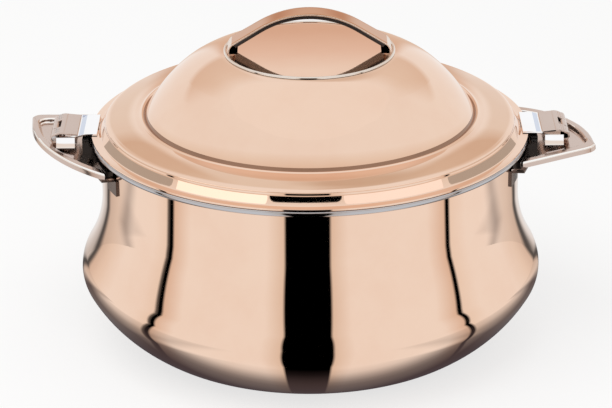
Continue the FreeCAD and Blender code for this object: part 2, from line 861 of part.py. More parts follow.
def handle_plate(side, turn):
    """A fin-shaped plate: a raised lip round a pan that runs in under the bracket."""
    body = new_body(f"handle_plate_{side}", turn)
    outline = tilted_sketch(body, "outline", LIP_PLANE)
    draw(
        outline,
        ring_edge(ROOT, BACK, FRONT), ring_point(ROOT, FRONT),
        (*NEAR_TIP, -size.tip_bow), (*TIP, -size.edge_bow), ring_point(LIP_ROOT, BACK),
    )
    plate = pad(body, outline, size.plate_depth, down=True)
    rounding = body.newObject("PartDesign::Fillet", f"{body.Name}_rounding")
    rounding.Base = (plate, lip_edges(plate))
    rounding.setExpression("Radius", size.edge_round.formula)
    doc.recompute()
    pan = tilted_sketch(body, "pan", LIP_PLANE)
    front, back = FRONT + size.pan_front_turn, BACK - size.pan_back_turn
    past_front, past_back = FRONT - size.pan_front_turn, BACK + size.pan_back_turn
    inside = ROOT - size.lip_width
    draw(
        pan,
        ring_point(LIP_ROOT, front),
        (NEAR_TIP[0] - size.pan_near_x, NEAR_TIP[1] + size.pan_near_y, -size.pan_corner_bow),
        (TIP[0] - size.lip_width, TIP[1] + size.pan_tip_y, -size.pan_edge_bow),
        ring_edge(LIP_ROOT, back, past_back), ring_point(LIP_ROOT, past_back),
        ring_edge(inside, past_back, past_front), ring_point(inside, past_front),
        ring_edge(LIP_ROOT, past_front, front),
    )
    pocket(body, pan, size.pan_depth)
    drill(body, size.screw_radius + size.screw_gap, size.strap_wall + 2 * size.plate_depth)


def handle_bracket(side, turn):
    """A dark moulding that fills the root of the pan, with a saddle under the clip."""
    body = new_body(f"handle_bracket_{side}", turn)
    depth = size.pan_depth + size.bracket_rise
    base = tilted_sketch(body, "base", PAN_PLANE)
    draw_sector(base, ROOT + size.bracket_setback, LIP_ROOT - size.bracket_gap,
                FRONT + size.bracket_end_angle, BACK - size.bracket_end_angle)
    pad(body, base, depth)
    half = SADDLE_WIDTH / 2
    step = tilted_sketch(body, "step", PAN_PLANE)
    draw_box(step, (ROOT + size.strap_wall, -half), (SADDLE_BACK, half))
    pad(body, step, depth)
    front, end = RIM + size.bracket_gap, SADDLE_BACK - size.bracket_setback
    top = HOOK_UNDER - size.hook_step_drop - size.saddle_gap
    saddle = new_sketch(body, "saddle")
    draw(saddle, (front, height_at(PAN_PLANE, front)), (end, height_at(PAN_PLANE, end)),
         (end, top), (front, top))
    pad(body, saddle, SADDLE_WIDTH, both=True)
    drill(body, size.screw_radius, SHANK)


def mount_strap(side, turn):
    """A steel strap welded round the neck: two legs, and a ledge that carries the handle."""
    body = new_body(f"mount_strap_{side}", turn)
    front, back, leg = FRONT - size.strap_front_past, BACK + size.strap_back_past, size.leg_angle
    band = new_sketch(body, "band", "XY_Plane", ROOT_HEIGHT - size.strap_drop)
    draw_sector(band, NECK, ROOT, front, back)
    pad(body, band, size.strap_drop)
    legs = new_sketch(body, "legs", "XY_Plane", ROOT_HEIGHT - size.leg_drop)
    draw_sector(legs, NECK, ROOT, front, front + leg)
    draw_sector(legs, NECK, ROOT, back - leg, back)
    pad(body, legs, size.leg_drop)
    above = tilted_sketch(body, "above", UNDER_PLANE)
    draw_sector(above, NECK - size.strap_reach, NECK + size.strap_reach, front - leg, back + leg)
    pocket(body, above, size.leg_drop, up=True)
    ledge = tilted_sketch(body, "ledge", UNDER_PLANE)
    draw_sector(ledge, ROOT, ROOT + size.strap_reach, FRONT, BACK)
    pad(body, ledge, size.strap_wall, down=True)
    drill(body, size.screw_radius + size.screw_gap, 2 * size.strap_wall)


def handle_screws(side, turn):
    """Screws from below, through the ledge and the pan into the bracket."""
    screws = []
    for place, angle in zip(("front", "back"), SCREW_ANGLES):
        along, across = ring_point(SCREW_RING, angle)
        seat = (along * cos(TILT), across, STRAP_PLANE + along * sin(TILT))
        screws.append(stud(f"screw_{side}_{place}", seat, TILT, (size.screw_radius, SHANK),
                           (size.screw_head, size.screw_head_height)))
    group(f"handle_screws_{side}", screws, turn)


def tail_top(x):
    """Height of the top of the hook's tail, where the lever lies on it."""
    start = HOOK_UNDER + size.clip_wall - size.hook_step_drop
    return start + (x - HOOK_STEP) * size.tail_rise / size.hook_tail


def clip_hook(side, turn):
    """The steel end of the clip: it reaches over the lid's flange and runs on under the lever."""
    body = new_body(f"clip_hook_{side}", turn)
    wall, step = size.clip_wall, HOOK_STEP
    sketch = new_sketch(body, "side")
    draw(
        sketch,
        (HOOK_TIP, HOOK_UNDER), (HOOK_BEND, HOOK_UNDER), (step, tail_top(step) - wall),
        (TAIL_END, tail_top(TAIL_END) - wall), (TAIL_END, tail_top(TAIL_END)),
        (step, tail_top(step)), (HOOK_BEND, HOOK_UNDER + wall), (HOOK_TIP, HOOK_UNDER + wall),
    )
    pad(body, sketch, size.clip_width, both=True)
    holes = new_sketch(body, "holes", "XY_Plane", HOOK_UNDER)
    for across in (-size.rivet_spread, size.rivet_spread):
        draw_circle(holes, (step + size.hook_tail / 2, across), size.rivet_radius)
    pocket(body, holes, 4 * wall, both=True)


def clip_lever(side, turn):
    """The tongue that the thumb lifts. Its outer end is rolled round the hinge pin."""
    body = new_body(f"clip_lever_{side}", turn)
    wall, pin_x, pin_z = size.clip_wall, PIN_X, PIN_HEIGHT
    start = HOOK_STEP + size.lever_lap
    crest = TAIL_END + size.lever_lap
    end, rest = 180 + size.roll_opening, 90 - size.roll_opening
    sketch = new_sketch(body, "side")
    draw(
        sketch,
        (start, tail_top(start) + wall), (crest, tail_top(crest) + wall, size.lever_bow),
        (pin_x, pin_z + ROLL, quarter_bow(ROLL)), (pin_x + ROLL, pin_z, quarter_bow(ROLL)),
        (pin_x, pin_z - ROLL, arc_bow(ROLL, rest)), (pin_x + ROLL * cos(end), pin_z + ROLL * sin(end)),
        (pin_x + PIN_HOLE * cos(end), pin_z + PIN_HOLE * sin(end), -arc_bow(PIN_HOLE, rest)),
        (pin_x, pin_z - PIN_HOLE, -quarter_bow(PIN_HOLE)),
        (pin_x + PIN_HOLE, pin_z, -quarter_bow(PIN_HOLE)),
        (pin_x, pin_z + PIN_HOLE, -size.lever_bow), (crest, tail_top(crest)), (start, tail_top(start)),
    )
    pad(body, sketch, size.clip_width, both=True)
    slot = new_sketch(body, "slot", "XY_Plane", pin_z)
    half = size.knuckle_width / 2 + size.knuckle_gap
    draw_box(slot, (pin_x - size.knuckle_slot, -half), (pin_x + 2 * ROLL, half))
    pocket(body, slot, 4 * ROLL, both=True)


def clip_rivets(side, turn):
    """Rivets through the hook's tail, blind under the lever."""
    upright = as_size(0)
    x = HOOK_STEP + size.hook_tail / 2
    seat = tail_top(x - size.rivet_head) - size.clip_wall
    length = tail_top(x - size.rivet_radius) - seat
    rivets = []
    for place, across in (("front", -size.rivet_spread), ("back", size.rivet_spread)):
        rivets.append(stud(f"rivet_{side}_{place}", (x, across, seat), upright,
                           (size.rivet_radius, length), (size.rivet_head, size.rivet_head_height)))
    group(f"clip_rivets_{side}", rivets, turn)


def clip_pin(side, turn):
    """The hinge pin, along Y, inside the lever's roll."""
    body = new_body(f"clip_pin_{side}", turn)
    sketch = new_sketch(body, "round")
    draw_circle(sketch, (PIN_X, PIN_HEIGHT), size.pin_radius)
    pad(body, sketch, size.clip_width - 2 * size.pin_recess, both=True)


def clip_hinge(side, turn):
    """A hinge post on the pan's floor: its knuckle fills the slot in the lever's roll."""
    body = new_body(f"clip_hinge_{side}", turn)
    pin_x, pin_z = PIN_X, PIN_HEIGHT
    foot, inner, outer = pin_x - size.hinge_foot, pin_x - ROLL, pin_x + ROLL
    wall = size.hinge_foot_wall / cos(TILT)
    post = new_sketch(body, "post")
    draw(
        post,
        (foot, height_at(PAN_PLANE, foot)), (outer, height_at(PAN_PLANE, outer)),
        (outer, pin_z, -quarter_bow(ROLL)), (pin_x, pin_z + ROLL, -quarter_bow(ROLL)),
        (inner, pin_z), (inner, height_at(PAN_PLANE, inner) + wall),
        (foot, height_at(PAN_PLANE, foot) + wall),
    )
    pad(body, post, size.knuckle_width, both=True)
    hole = new_sketch(body, "hole")
    draw_circle(hole, (pin_x, pin_z), size.pin_radius)
    pocket(body, hole, 2 * size.knuckle_width, both=True)


# ---------------------------------------------------------------- the whole object

for make in (outer_shell, base_cover, foot_ring, fill_plug, body_insulation, inner_bowl,
             lid_shell, lid_dish, grip_strap, grip_liner, lid_insulation, lid_liner, lid_gasket):
    make()
for side, turn in (("right", 0), ("left", 180)):
    for make in (handle_plate, handle_bracket, mount_strap, handle_screws,
                 clip_hook, clip_lever, clip_rivets, clip_pin, clip_hinge):
        make(side, turn)

doc.recompute()
broken = [thing.Name for thing in doc.Objects if {"Invalid", "Error"} & set(thing.State)]
for piece in PARTS:
    if piece.Shape.isNull() or not piece.Shape.isValid() or not piece.Shape.Solids:
        broken.append(piece.Label)
if broken:
    raise RuntimeError("not sound: " + ", ".join(broken))
os.makedirs("parts", exist_ok=True)
for piece in PARTS:
    piece.Shape.exportStep(f"parts/{piece.Label}.step")
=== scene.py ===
import math
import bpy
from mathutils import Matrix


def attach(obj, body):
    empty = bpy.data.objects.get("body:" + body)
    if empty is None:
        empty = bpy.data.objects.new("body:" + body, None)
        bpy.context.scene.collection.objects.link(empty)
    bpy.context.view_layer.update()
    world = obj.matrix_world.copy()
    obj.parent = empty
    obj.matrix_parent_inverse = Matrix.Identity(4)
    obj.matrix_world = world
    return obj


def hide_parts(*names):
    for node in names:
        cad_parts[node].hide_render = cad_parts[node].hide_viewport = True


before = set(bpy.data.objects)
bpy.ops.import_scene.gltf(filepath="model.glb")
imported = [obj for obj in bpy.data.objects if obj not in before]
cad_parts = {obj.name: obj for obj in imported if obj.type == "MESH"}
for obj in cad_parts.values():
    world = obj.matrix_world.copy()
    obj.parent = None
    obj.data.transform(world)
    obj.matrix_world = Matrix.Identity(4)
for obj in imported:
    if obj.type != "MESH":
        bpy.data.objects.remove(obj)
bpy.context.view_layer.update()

from types import SimpleNamespace

import bmesh
import bpy
from mathutils import Matrix, Vector

# Looks of the insulated casserole. Sizes are millimetres, as in the part's source, and every mesh
# is brought to metres when it is finished. +Z is up, +X runs through the right-hand handle.

MM = 0.001
AROUND = 256          # faces round a turned piece
FINE = 1.6            # degrees of an arc per face where it shows
COARSE = 8.0          # the same where it doesn't
SOFT_STEPS = 6        # faces round a rounded-off corner
SHARP = 38.0          # degrees between two faces from which their edge shows

# ---- sizes of the pot and lid

SHELL_WALL = 0.8
BULGE_RADIUS = 145.0
BULGE_HEIGHT = 45.8
NECK_RADIUS = 130.6
RIM_TOP = 134.7
RIM_RADIUS = NECK_RADIUS + 6.0
RIM_CURL = 1.9
RIM_RETURN = 2.4
RIM_ROUND = 1.5
RIM_UNDER = RIM_TOP - 2 * RIM_CURL
NECK_FOOT = RIM_UNDER - 32.9
BOWL_WALL = 0.8
BOWL_RADIUS = NECK_RADIUS - 8.6
BOWL_CORNER = 38.0
BOWL_FLOOR = 24.0
SHELL_TOP = RIM_TOP - BOWL_WALL - 0.3
FLARE_SPLIT = 0.78
UNDER_BULGE = SimpleNamespace(curve=16.6, turn=28.0)
BELLY = SimpleNamespace(curve=88.0, turn=56.0)
FOOT_TURN = 84.0
SHELL_LIFT = 0.8
SHELL_LIP = 5.5

LID_WALL = 1.0
FLANGE_TOP = RIM_TOP + 0.2 + LID_WALL
FLANGE_EDGE = (RIM_RADIUS - 0.4, FLANGE_TOP)
BAND_FOOT = (FLANGE_EDGE[0] - 4.8, FLANGE_TOP)
BAND_TOP = (BAND_FOOT[0] - 3.8, FLANGE_TOP + 5.3)
LEDGE_END = (BAND_TOP[0] - 3.1, BAND_TOP[1] + 2.7)
SHOULDER_BOW = 0.8
LEDGE_TOP = LEDGE_END[1] + 2.2
LEDGE_BOW = 0.5
BEAD_OUTER = LEDGE_END[0] - 18.7
GROOVE = (BEAD_OUTER - 3.0, LEDGE_TOP - 0.7)
BEAD_BOW = 0.85
DOME_MID = (GROOVE[0] - 20.6, GROOVE[1] + 26.0)
DOME_SIDE_BOW = 1.3
HOLE_RADIUS = 52.2
HOLE_HEIGHT = DOME_MID[1] + 14.1
DOME_TOP_BOW = 2.1

DISH_WALL = 0.8
DISH_LIP = 0.9
DISH_FIT = 0.15
DISH_OUTER = HOLE_RADIUS - DISH_FIT
DISH_INNER = DISH_OUTER - DISH_WALL
DISH_FLOOR = HOLE_HEIGHT + 0.3

GRIP_WALL = 1.2
GRIP_X = DISH_INNER - 0.8
GRIP_TOP = HOLE_HEIGHT + 25.6
GRIP_CURVE = 60.0
GRIP_ANGLE = 31.3
GRIP_BEND = 2.6
GRIP_BEND_DROP = 4.2
GRIP_BEND_BOW = 0.42
GRIP_TAB = 5.0
GRIP_TAB_GAP = 0.4
GRIP_WIDTH = SimpleNamespace(middle=14.5, end=17.5)
GRIP_FOOT = GRIP_X - 5.0
GRIP_SOFT = 0.5
STRIP_WALL = 2.3
STRIP_INSET = 0.5

LINER_WALL = 0.8
LINER_UNDER = RIM_TOP + 2.1
LINER_EDGE = BAND_FOOT[0] - 2.8
SPIGOT_RADIUS = BOWL_RADIUS - 1.6
SPIGOT_LOW = RIM_TOP - 10.0
SPIGOT_CORNER = 5.0
SPIGOT_CROWN = 2.5
SPIGOT_SLOPE = 54.4
SEAL_OUTER = LINER_EDGE - 0.4
SEAL_INNER = SEAL_OUTER - 4.2
SEAL_LIP = 1.2

# ---- sizes of the side fittings

TILT = math.radians(6.84)
STRAP_WALL = 1.2
ROOT = NECK_RADIUS + STRAP_WALL
LIP_ROOT = RIM_RADIUS + 1.4
LIP_PLANE = RIM_UNDER - 3.3 - ROOT * math.tan(TILT)
PLATE_DEPTH = 3.8
PAN_DEPTH = 2.8
FRONT_ANGLE, BACK_ANGLE = -20.6, 24.9
TIP = (NECK_RADIUS + 45.8, -21.0)
NEAR_TIP = (TIP[0] - 5.6, -32.4)
TIP_BOW = 3.0
EDGE_BOW = 13.3
LIP_WIDTH = 5.4
PAN_NEAR = (NEAR_TIP[0] - 3.2, NEAR_TIP[1] + 6.9)
PAN_TIP = (TIP[0] - LIP_WIDTH, TIP[1] + 6.5)
PAN_FRONT_TURN = 5.2
PAN_BACK_TURN = 4.4
PAN_CORNER_BOW = 2.2
PAN_EDGE_BOW = 9.3
LIP_ROUND = 1.5
PAN_ROUND = 1.2

CLIP_WIDTH = 34.0
CLIP_WALL = 1.0
HOOK_UNDER = FLANGE_TOP + 0.35
HOOK_TIP = FLANGE_EDGE[0] - 4.5
HOOK_BEND = RIM_RADIUS + 3.1
HOOK_STEP = HOOK_BEND + 3.7
HOOK_STEP_DROP = 1.1
HOOK_TAIL = 8.0
TAIL_RISE = 0.85
TAIL_END = HOOK_STEP + HOOK_TAIL
LEVER_LAP = 0.4
LEVER_BOW = 0.7
PIN = (TAIL_END + 6.9, HOOK_UNDER - 2.05)
PIN_HOLE = 1.66
ROLL = PIN_HOLE + CLIP_WALL
ROLL_OPENING = 20.0
KNUCKLE_HALF = 5.8
KNUCKLE_SLOT = 3.2
CLIP_SOFT = 0.25
LEVER_SOFT = 0.2
CHEEK = SimpleNamespace(start=HOOK_STEP + 2.2, end=PIN[0] - 1.2, low=PIN[1] - 5.4, depth=2.0, flare=2.6,
                        swell=0.35, soft=0.6)


# ---- lines and meshes

class Corner:
    """A corner of an outline. The edge that leaves it bows to the left of the way by `bow`, the
    corner is rounded off over `soft` on each side, and `fine` says how closely its arc is faced."""

    def __init__(self, x, y, bow=0.0, soft=0.0, fine=FINE):
        self.place = Vector((x, y))
        self.bow = bow
        self.soft = soft
        self.fine = fine


def side(corner, after):
    """Points from one corner to the next, both ends included."""
    start, end = corner.place, after.place
    if abs(corner.bow) < 1e-9:
        return [start, end]
    way = end - start
    half = 2 * math.atan(2 * abs(corner.bow) / way.length)
    radius = way.length / (2 * math.sin(half))
    along = way.normalized()
    left = Vector((-along.y, along.x)) * math.copysign(1, corner.bow)
    steps = max(2, math.ceil(math.degrees(2 * half) / corner.fine))
    turns = [half * (2 * step / steps - 1) for step in range(steps + 1)]
    middle = (start + end) / 2
    return [middle + along * radius * math.sin(turn)
            + left * radius * (math.cos(turn) - math.cos(half)) for turn in turns]


def shortened(points, length):
    """A line without its first `length`."""
    while length > 0:
        step = (points[1] - points[0]).length
        if step > length:
            return [points[0].lerp(points[1], length / step), *points[1:]]
        length -= step
        points = points[1:]
    return points


def outline(corners):
    """All points of a closed outline."""
    sides = []
    for corner, after in zip(corners, corners[1:] + corners[:1]):
        points = shortened(side(corner, after), corner.soft)
        sides.append(shortened(points[::-1], after.soft)[::-1])
    found = []
    for corner, before, after in zip(corners, sides[-1:] + sides[:-1], sides):
        if corner.soft:
            for share in (step / SOFT_STEPS for step in range(1, SOFT_STEPS)):
                first = before[-1].lerp(corner.place, share)
                found.append(first.lerp(corner.place.lerp(after[0], share), share))
        found.extend(after)
    tidy = []
    for place in found:
        if not tidy or (place - tidy[-1]).length > 1e-4:
            tidy.append(place)
    if (tidy[0] - tidy[-1]).length < 1e-4:
        tidy.pop()
    return tidy


def back_along(corners, soft=0.0, fine=COARSE):
    """The same corners walked the other way."""
    walked = []
    for index in reversed(range(len(corners))):
        bow = -corners[index - 1].bow if index else 0.0
        place = corners[index].place
        walked.append(Corner(place.x, place.y, bow, soft, fine))
    return walked


def arc_bow(radius, degrees):
    return radius * (1 - math.cos(math.radians(degrees) / 2))


def quarter(radius):
    return arc_bow(radius, 90)


def turned(corners):
    """A closed outline of (radius, height) corners, turned about the Z axis."""
    mesh = bmesh.new()
    rail = [mesh.verts.new((place.x, 0, place.y)) for place in outline(corners)]
    for first, second in zip(rail, rail[1:] + rail[:1]):
        if first.co.x > 1e-6 or second.co.x > 1e-6:
            mesh.edges.new((first, second))
    bmesh.ops.spin(mesh, geom=mesh.verts[:] + mesh.edges[:], cent=(0, 0, 0), axis=(0, 0, 1),
                   dvec=(0, 0, 0), angle=math.tau, steps=AROUND, use_merge=True)
    return mesh


def only(things, kind):
    return [thing for thing in things if isinstance(thing, kind)]


def pushed(mesh, faces, way):
    """Extrude faces by a distance and give back the moved ones."""
    grown = bmesh.ops.extrude_face_region(mesh, geom=faces)["geom"]
    bmesh.ops.translate(mesh, verts=only(grown, bmesh.types.BMVert), vec=way)
    return only(grown, bmesh.types.BMFace)


def softened(mesh, edges, width, segments=3, clamp=True):
    """Round edges off. Without the clamp a short edge beside them doesn't narrow the rounding."""
    bmesh.ops.bevel(mesh, geom=edges, offset=width, segments=segments, profile=0.5, material=-1,
                    affect="EDGES", clamp_overlap=clamp)


def as_object(name, mesh, material):
    data = bpy.data.meshes.new(name)
    mesh.to_mesh(data)
    mesh.free()
    data.materials.append(material)
    made = bpy.data.objects.new(name, data)
    bpy.context.scene.collection.objects.link(made)
    return made


def finish_piece(name, mesh, material, body, node, place=Matrix.Identity(4), weighted=False):
    """Clean a mesh, bring it to metres and hang it on its body in place of its node."""
    bmesh.ops.remove_doubles(mesh, verts=mesh.verts[:], dist=1e-4)
    bmesh.ops.recalc_face_normals(mesh, faces=mesh.faces[:])
    mesh.transform(Matrix.Scale(MM, 4) @ place)
    piece = as_object(name, mesh, material)
    piece.data.polygons.foreach_set("use_smooth", [True] * len(piece.data.polygons))
    piece.data.set_sharp_from_angle(angle=math.radians(SHARP))
    if weighted:
        piece.modifiers.new("even_shading", "WEIGHTED_NORMAL").keep_sharp = True
    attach(piece, body)
    if node:
        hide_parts(node)
    return piece


def from_axis(place):
    """How far a place in metres lies from the Z axis, in millimetres."""
    return math.hypot(place.x, place.y) / MM


def second_finish(piece, material, chosen):
    """Give a second material to the faces that `chosen` picks."""
    piece.data.materials.append(material)
    for face in piece.data.polygons:
        if chosen(face):
            face.material_index = 1


# ---- shader nodes

EMISSION = "ShaderNodeEmission"
BACKGROUND = "ShaderNodeBackground"


class Nodes:
    """Short ways to add nodes to one tree."""

    def __init__(self, tree):
        self.tree = tree
        tree.nodes.clear()

    def add(self, kind, **settings):
        node = self.tree.nodes.new(kind)
        for name, value in settings.items():
            setattr(node, name, value)
        return node

    def put(self, socket, value):
        if isinstance(value, bpy.types.NodeSocket):
            self.tree.links.new(value, socket)
        else:
            socket.default_value = value

    def calc(self, operation, *values):
        node = self.add("ShaderNodeMath", operation=operation)
        for socket, value in zip(node.inputs, values):
            self.put(socket, value)
        return node.outputs[0]

    def share(self, value, low, high):
        """A value's place between two others, as a straight 0 to 1 that runs on past both."""
        return self.calc("MULTIPLY_ADD", value, 1 / (high - low), -low / (high - low))

    def spread(self, value, low, high, to_low=0.0, to_high=1.0):
        """Map a value smoothly from one range to another."""
        node = self.add("ShaderNodeMapRange", interpolation_type="SMOOTHSTEP")
        for socket, entry in zip(node.inputs, (value, low, high, to_low, to_high)):
            self.put(socket, entry)
        return node.outputs[0]

    def mixed(self, factor, first, second, blend="MIX"):
        node = self.add("ShaderNodeMix", data_type="RGBA", blend_type=blend)
        self.put(node.inputs[0], factor)
        self.put(node.inputs[6], first)
        self.put(node.inputs[7], second)
        return node.outputs[2]

    def ramp(self, value, stops):
        """Colours along a value: stops are (place, colour)."""
        node = self.add("ShaderNodeValToRGB")
        while len(node.color_ramp.elements) < len(stops):
            node.color_ramp.elements.new(0.5)
        for element, (place, colour) in zip(node.color_ramp.elements, stops):
            element.position = place
            element.color = colour
        self.put(node.inputs[0], value)
        return node.outputs[0]

    def noise(self, place, scale, detail=2.0, roughness=0.5):
        node = self.add("ShaderNodeTexNoise")
        self.put(node.inputs["Vector"], place)
        self.put(node.inputs["Scale"], scale)
        node.inputs["Detail"].default_value = detail
        node.inputs["Roughness"].default_value = roughness
        return node.outputs["Fac"]

    def coordinates(self):
        """The piece's own coordinates, as a vector."""
        return self.add("ShaderNodeTexCoord").outputs["Object"]

    def places(self):
        """The piece's own coordinates, as X, Y and Z."""
        split = self.add("ShaderNodeSeparateXYZ")
        self.put(split.inputs[0], self.coordinates())
        return tuple(split.outputs)

    def length(self, x, y):
        return self.calc("SQRT", self.calc("ADD", self.calc("MULTIPLY", x, x), self.calc("MULTIPLY", y, y)))

    def bump(self, distance, strength, height):
        node = self.add("ShaderNodeBump")
        node.inputs["Distance"].default_value = distance
        self.put(node.inputs["Strength"], strength)
        self.put(node.inputs["Height"], height)
        return node.outputs[0]

    def light(self, kind, colour, strength=1.0):
        """The shader of something that shines: an emission or a background."""
        node = self.add(kind)
        self.put(node.inputs["Color"], colour)
        node.inputs["Strength"].default_value = strength
        return node.outputs[0]

    def either(self, factor, first, second):
        """A mix of two shaders."""
        node = self.add("ShaderNodeMixShader")
        for socket, value in zip(node.inputs, (factor, first, second)):
            self.put(socket, value)
        return node.outputs[0]


def grey(level):
    return (level, level, level, 1.0)


def new_group(name, given, results):
    """An empty shader node group with named sockets, from its inputs' values and its outputs' kinds."""
    group = bpy.data.node_groups.new(name, "ShaderNodeTree")
    nodes = Nodes(group)
    for socket, value in given.items():
        kind = "Float" if isinstance(value, float) else "Color"
        made = group.interface.new_socket(name=socket, in_out="INPUT", socket_type=f"NodeSocket{kind}")
        made.default_value = value
    for socket, kind in results.items():
        group.interface.new_socket(name=socket, in_out="OUTPUT", socket_type=f"NodeSocket{kind}")
    return nodes, nodes.add("NodeGroupInput").outputs, nodes.add("NodeGroupOutput").inputs


SKIN = {"Color": "Color", "Roughness": "Float", "Normal": "Vector"}


def make_polish():
    """Traces of the polishing wheel and of handling: fine lines round the axis, faint clouds and
    smudges. They vary the roughness, the tone and, very slightly, the surface."""
    nodes, given, result = new_group(
        "polish", {"Roughness": 0.04, "Smudge": 0.03, "Line Depth": 0.02, "Color": grey(0.8)}, SKIN)
    place = nodes.coordinates()
    x, y, z = nodes.places()
    rings = nodes.add("ShaderNodeCombineXYZ")
    nodes.put(rings.inputs[0], nodes.length(x, y))
    nodes.put(rings.inputs[1], z)
    lines = nodes.noise(rings.outputs[0], 2600.0)
    clouds = nodes.noise(place, 22.0, 4.0, 0.6)
    prints = nodes.spread(nodes.noise(place, 60.0, 5.0, 0.65), 0.58, 0.72)
    marks = nodes.calc("ADD", nodes.calc("MULTIPLY", clouds, 0.7), nodes.calc("MULTIPLY", prints, 0.5))
    nodes.put(result["Roughness"], nodes.calc("ADD", given["Roughness"],
                                              nodes.calc("MULTIPLY", given["Smudge"], marks)))
    nodes.put(result["Color"], nodes.mixed(nodes.spread(clouds, 0.35, 0.7, 0.0, 0.10), given["Color"],
                                           (0.80, 0.52, 0.38, 1.0), "MULTIPLY"))
    nodes.put(result["Normal"], nodes.bump(0.00004, given["Line Depth"], lines))
    return nodes.tree


def make_moulded():
    """Skin of a moulded part: fine grain, and a little dust in faint clouds."""
    nodes, given, result = new_group(
        "moulded", {"Color": grey(0.02), "Roughness": 0.3, "Grain": 900.0, "Depth": 0.2}, SKIN)
    place = nodes.coordinates()
    grain = nodes.noise(place, given["Grain"])
    clouds = nodes.noise(place, 45.0, 4.0, 0.6)
    nodes.put(result["Color"], nodes.mixed(nodes.spread(clouds, 0.4, 0.75, 0.0, 0.35), given["Color"],
                                           (1.6, 1.5, 1.4, 1.0), "MULTIPLY"))
    nodes.put(result["Roughness"], nodes.calc("ADD", given["Roughness"],
                                              nodes.calc("MULTIPLY", clouds, 0.12)))
    nodes.put(result["Normal"], nodes.bump(0.0001, given["Depth"], grain))
    return nodes.tree


POLISH = make_polish()
MOULDED = make_moulded()


def skinned(name, group, settings):
    """A material whose shader takes its colour, roughness and normal from a group."""
    material = bpy.data.materials.new(name)
    material.use_nodes = True
    nodes = Nodes(material.node_tree)
    shader = nodes.add("ShaderNodeBsdfPrincipled")
    nodes.put(nodes.add("ShaderNodeOutputMaterial").inputs[0], shader.outputs[0])
    skin = nodes.add("ShaderNodeGroup", node_tree=group)
    for socket, value in settings.items():
        nodes.put(skin.inputs[socket], value)
    for output, socket in (("Color", "Base Color"), ("Roughness", "Roughness"), ("Normal", "Normal")):
        nodes.put(shader.inputs[socket], skin.outputs[output])
    return material, nodes, shader, skin


def ledge_shade_mask(nodes):
    """A mask of the lid's flat ledge, where a painted shade darkens the lid: 1 on it, 0 on the dome and on
    the shoulder.
    """
    x, y, _ = nodes.places()
    radius, inner, outer = nodes.length(x, y), BEAD_OUTER * MM, LEDGE_END[0] * MM
    return nodes.calc("MULTIPLY", nodes.spread(radius, inner + 3 * MM, inner + 9 * MM),
                      nodes.spread(radius, outer - MM, outer + MM, 1.0, 0.0))


def metal(name, colour, roughness, smudge=0.03, line_depth=0.02, ledge=None):
    """A bare metal with the polish group's traces. `ledge` is a painted shade: the darker tone it is given
    on the lid's ledge.
    """
    material, nodes, shader, skin = skinned(name, POLISH, {
        "Color": (*colour, 1.0), "Roughness": roughness, "Smudge": smudge, "Line Depth": line_depth})
    shader.inputs["Metallic"].default_value = 1.0
    # painted shade: on the ledge the colour is mixed to a darker tone
    if ledge:
        nodes.put(skin.inputs["Color"], nodes.mixed(ledge_shade_mask(nodes), (*colour, 1.0), (*ledge, 1.0)))
    return material


def moulding(name, colour, roughness, grain=900.0, depth=0.2):
    """A plastic, rubber or foam part with the moulded group's skin."""
    return skinned(name, MOULDED, {
        "Color": (*colour, 1.0), "Roughness": roughness, "Grain": grain, "Depth": depth})[0]


ROSE_TONE = (0.86, 0.635, 0.50)
ROSE = metal("rose_polish", ROSE_TONE, 0.018)
# the lid's polished copper, darkened on its ledge as a painted shade
ROSE_LID_LEDGE_SHADE = metal("lid_polish_ledge_shade", ROSE_TONE, 0.018, ledge=(0.76, 0.52, 0.375))
ROSE_DISH = metal("dish_polish", (0.86, 0.62, 0.48), 0.02)
GROOVE_SHADE = metal("groove_shade", (0.34, 0.21, 0.15), 0.12)
ROSE_GRIP = metal("grip_polish", (0.58, 0.29, 0.15), 0.05)
GRIP_EDGE = metal("grip_edge", (0.80, 0.70, 0.62), 0.32)
# a pale colour for the dish's rolled lip: a painted highlight
HEM_HIGHLIGHT = metal("hem_highlight", (0.78, 0.72, 0.66), 0.10)
ROSE_HANDLE = metal("handle_polish", (0.60, 0.485, 0.43), 0.13)
# near white for the handle lip's crest: a painted highlight
LIP_HIGHLIGHT = metal("handle_lip_highlight", (0.96, 0.95, 0.93), 0.10)
RIM = metal("rim_polish", (0.50, 0.50, 0.52), 0.07)
SATIN = metal("bowl_satin", (0.70, 0.70, 0.71), 0.24, 0.06, 0.35)
CHROME = metal("clip_chrome", (0.96, 0.97, 0.99), 0.03)
# bluish chrome for the hook's bend: a painted reflection
CHROME_BEND_REFLECTION = metal("clip_bend_reflection", (0.62, 0.68, 0.80), 0.05)
STRAP = metal("strap_steel", (0.14, 0.11, 0.10), 0.22, 0.08, 0.2)
SCREW = metal("screw_plating", (0.62, 0.62, 0.63), 0.16, 0.06, 0.1)
BLACK = moulding("bracket_moulding", (0.008, 0.007, 0.007), 0.05, 260.0, 0.0)
STRIP = moulding("grip_strip", (0.016, 0.010, 0.009), 0.22, 420.0, 0.02)
FOAM = moulding("foam", (0.86, 0.79, 0.58), 0.8, 420.0, 0.9)
BASE = moulding("base_moulding", (0.035, 0.032, 0.03), 0.45)
RUBBER = moulding("foot_rubber", (0.028, 0.028, 0.028), 0.62, 1100.0, 0.4)
SEAL = moulding("seal_silicone", (0.74, 0.74, 0.71), 0.42, 800.0, 0.15)


# ---- the pot

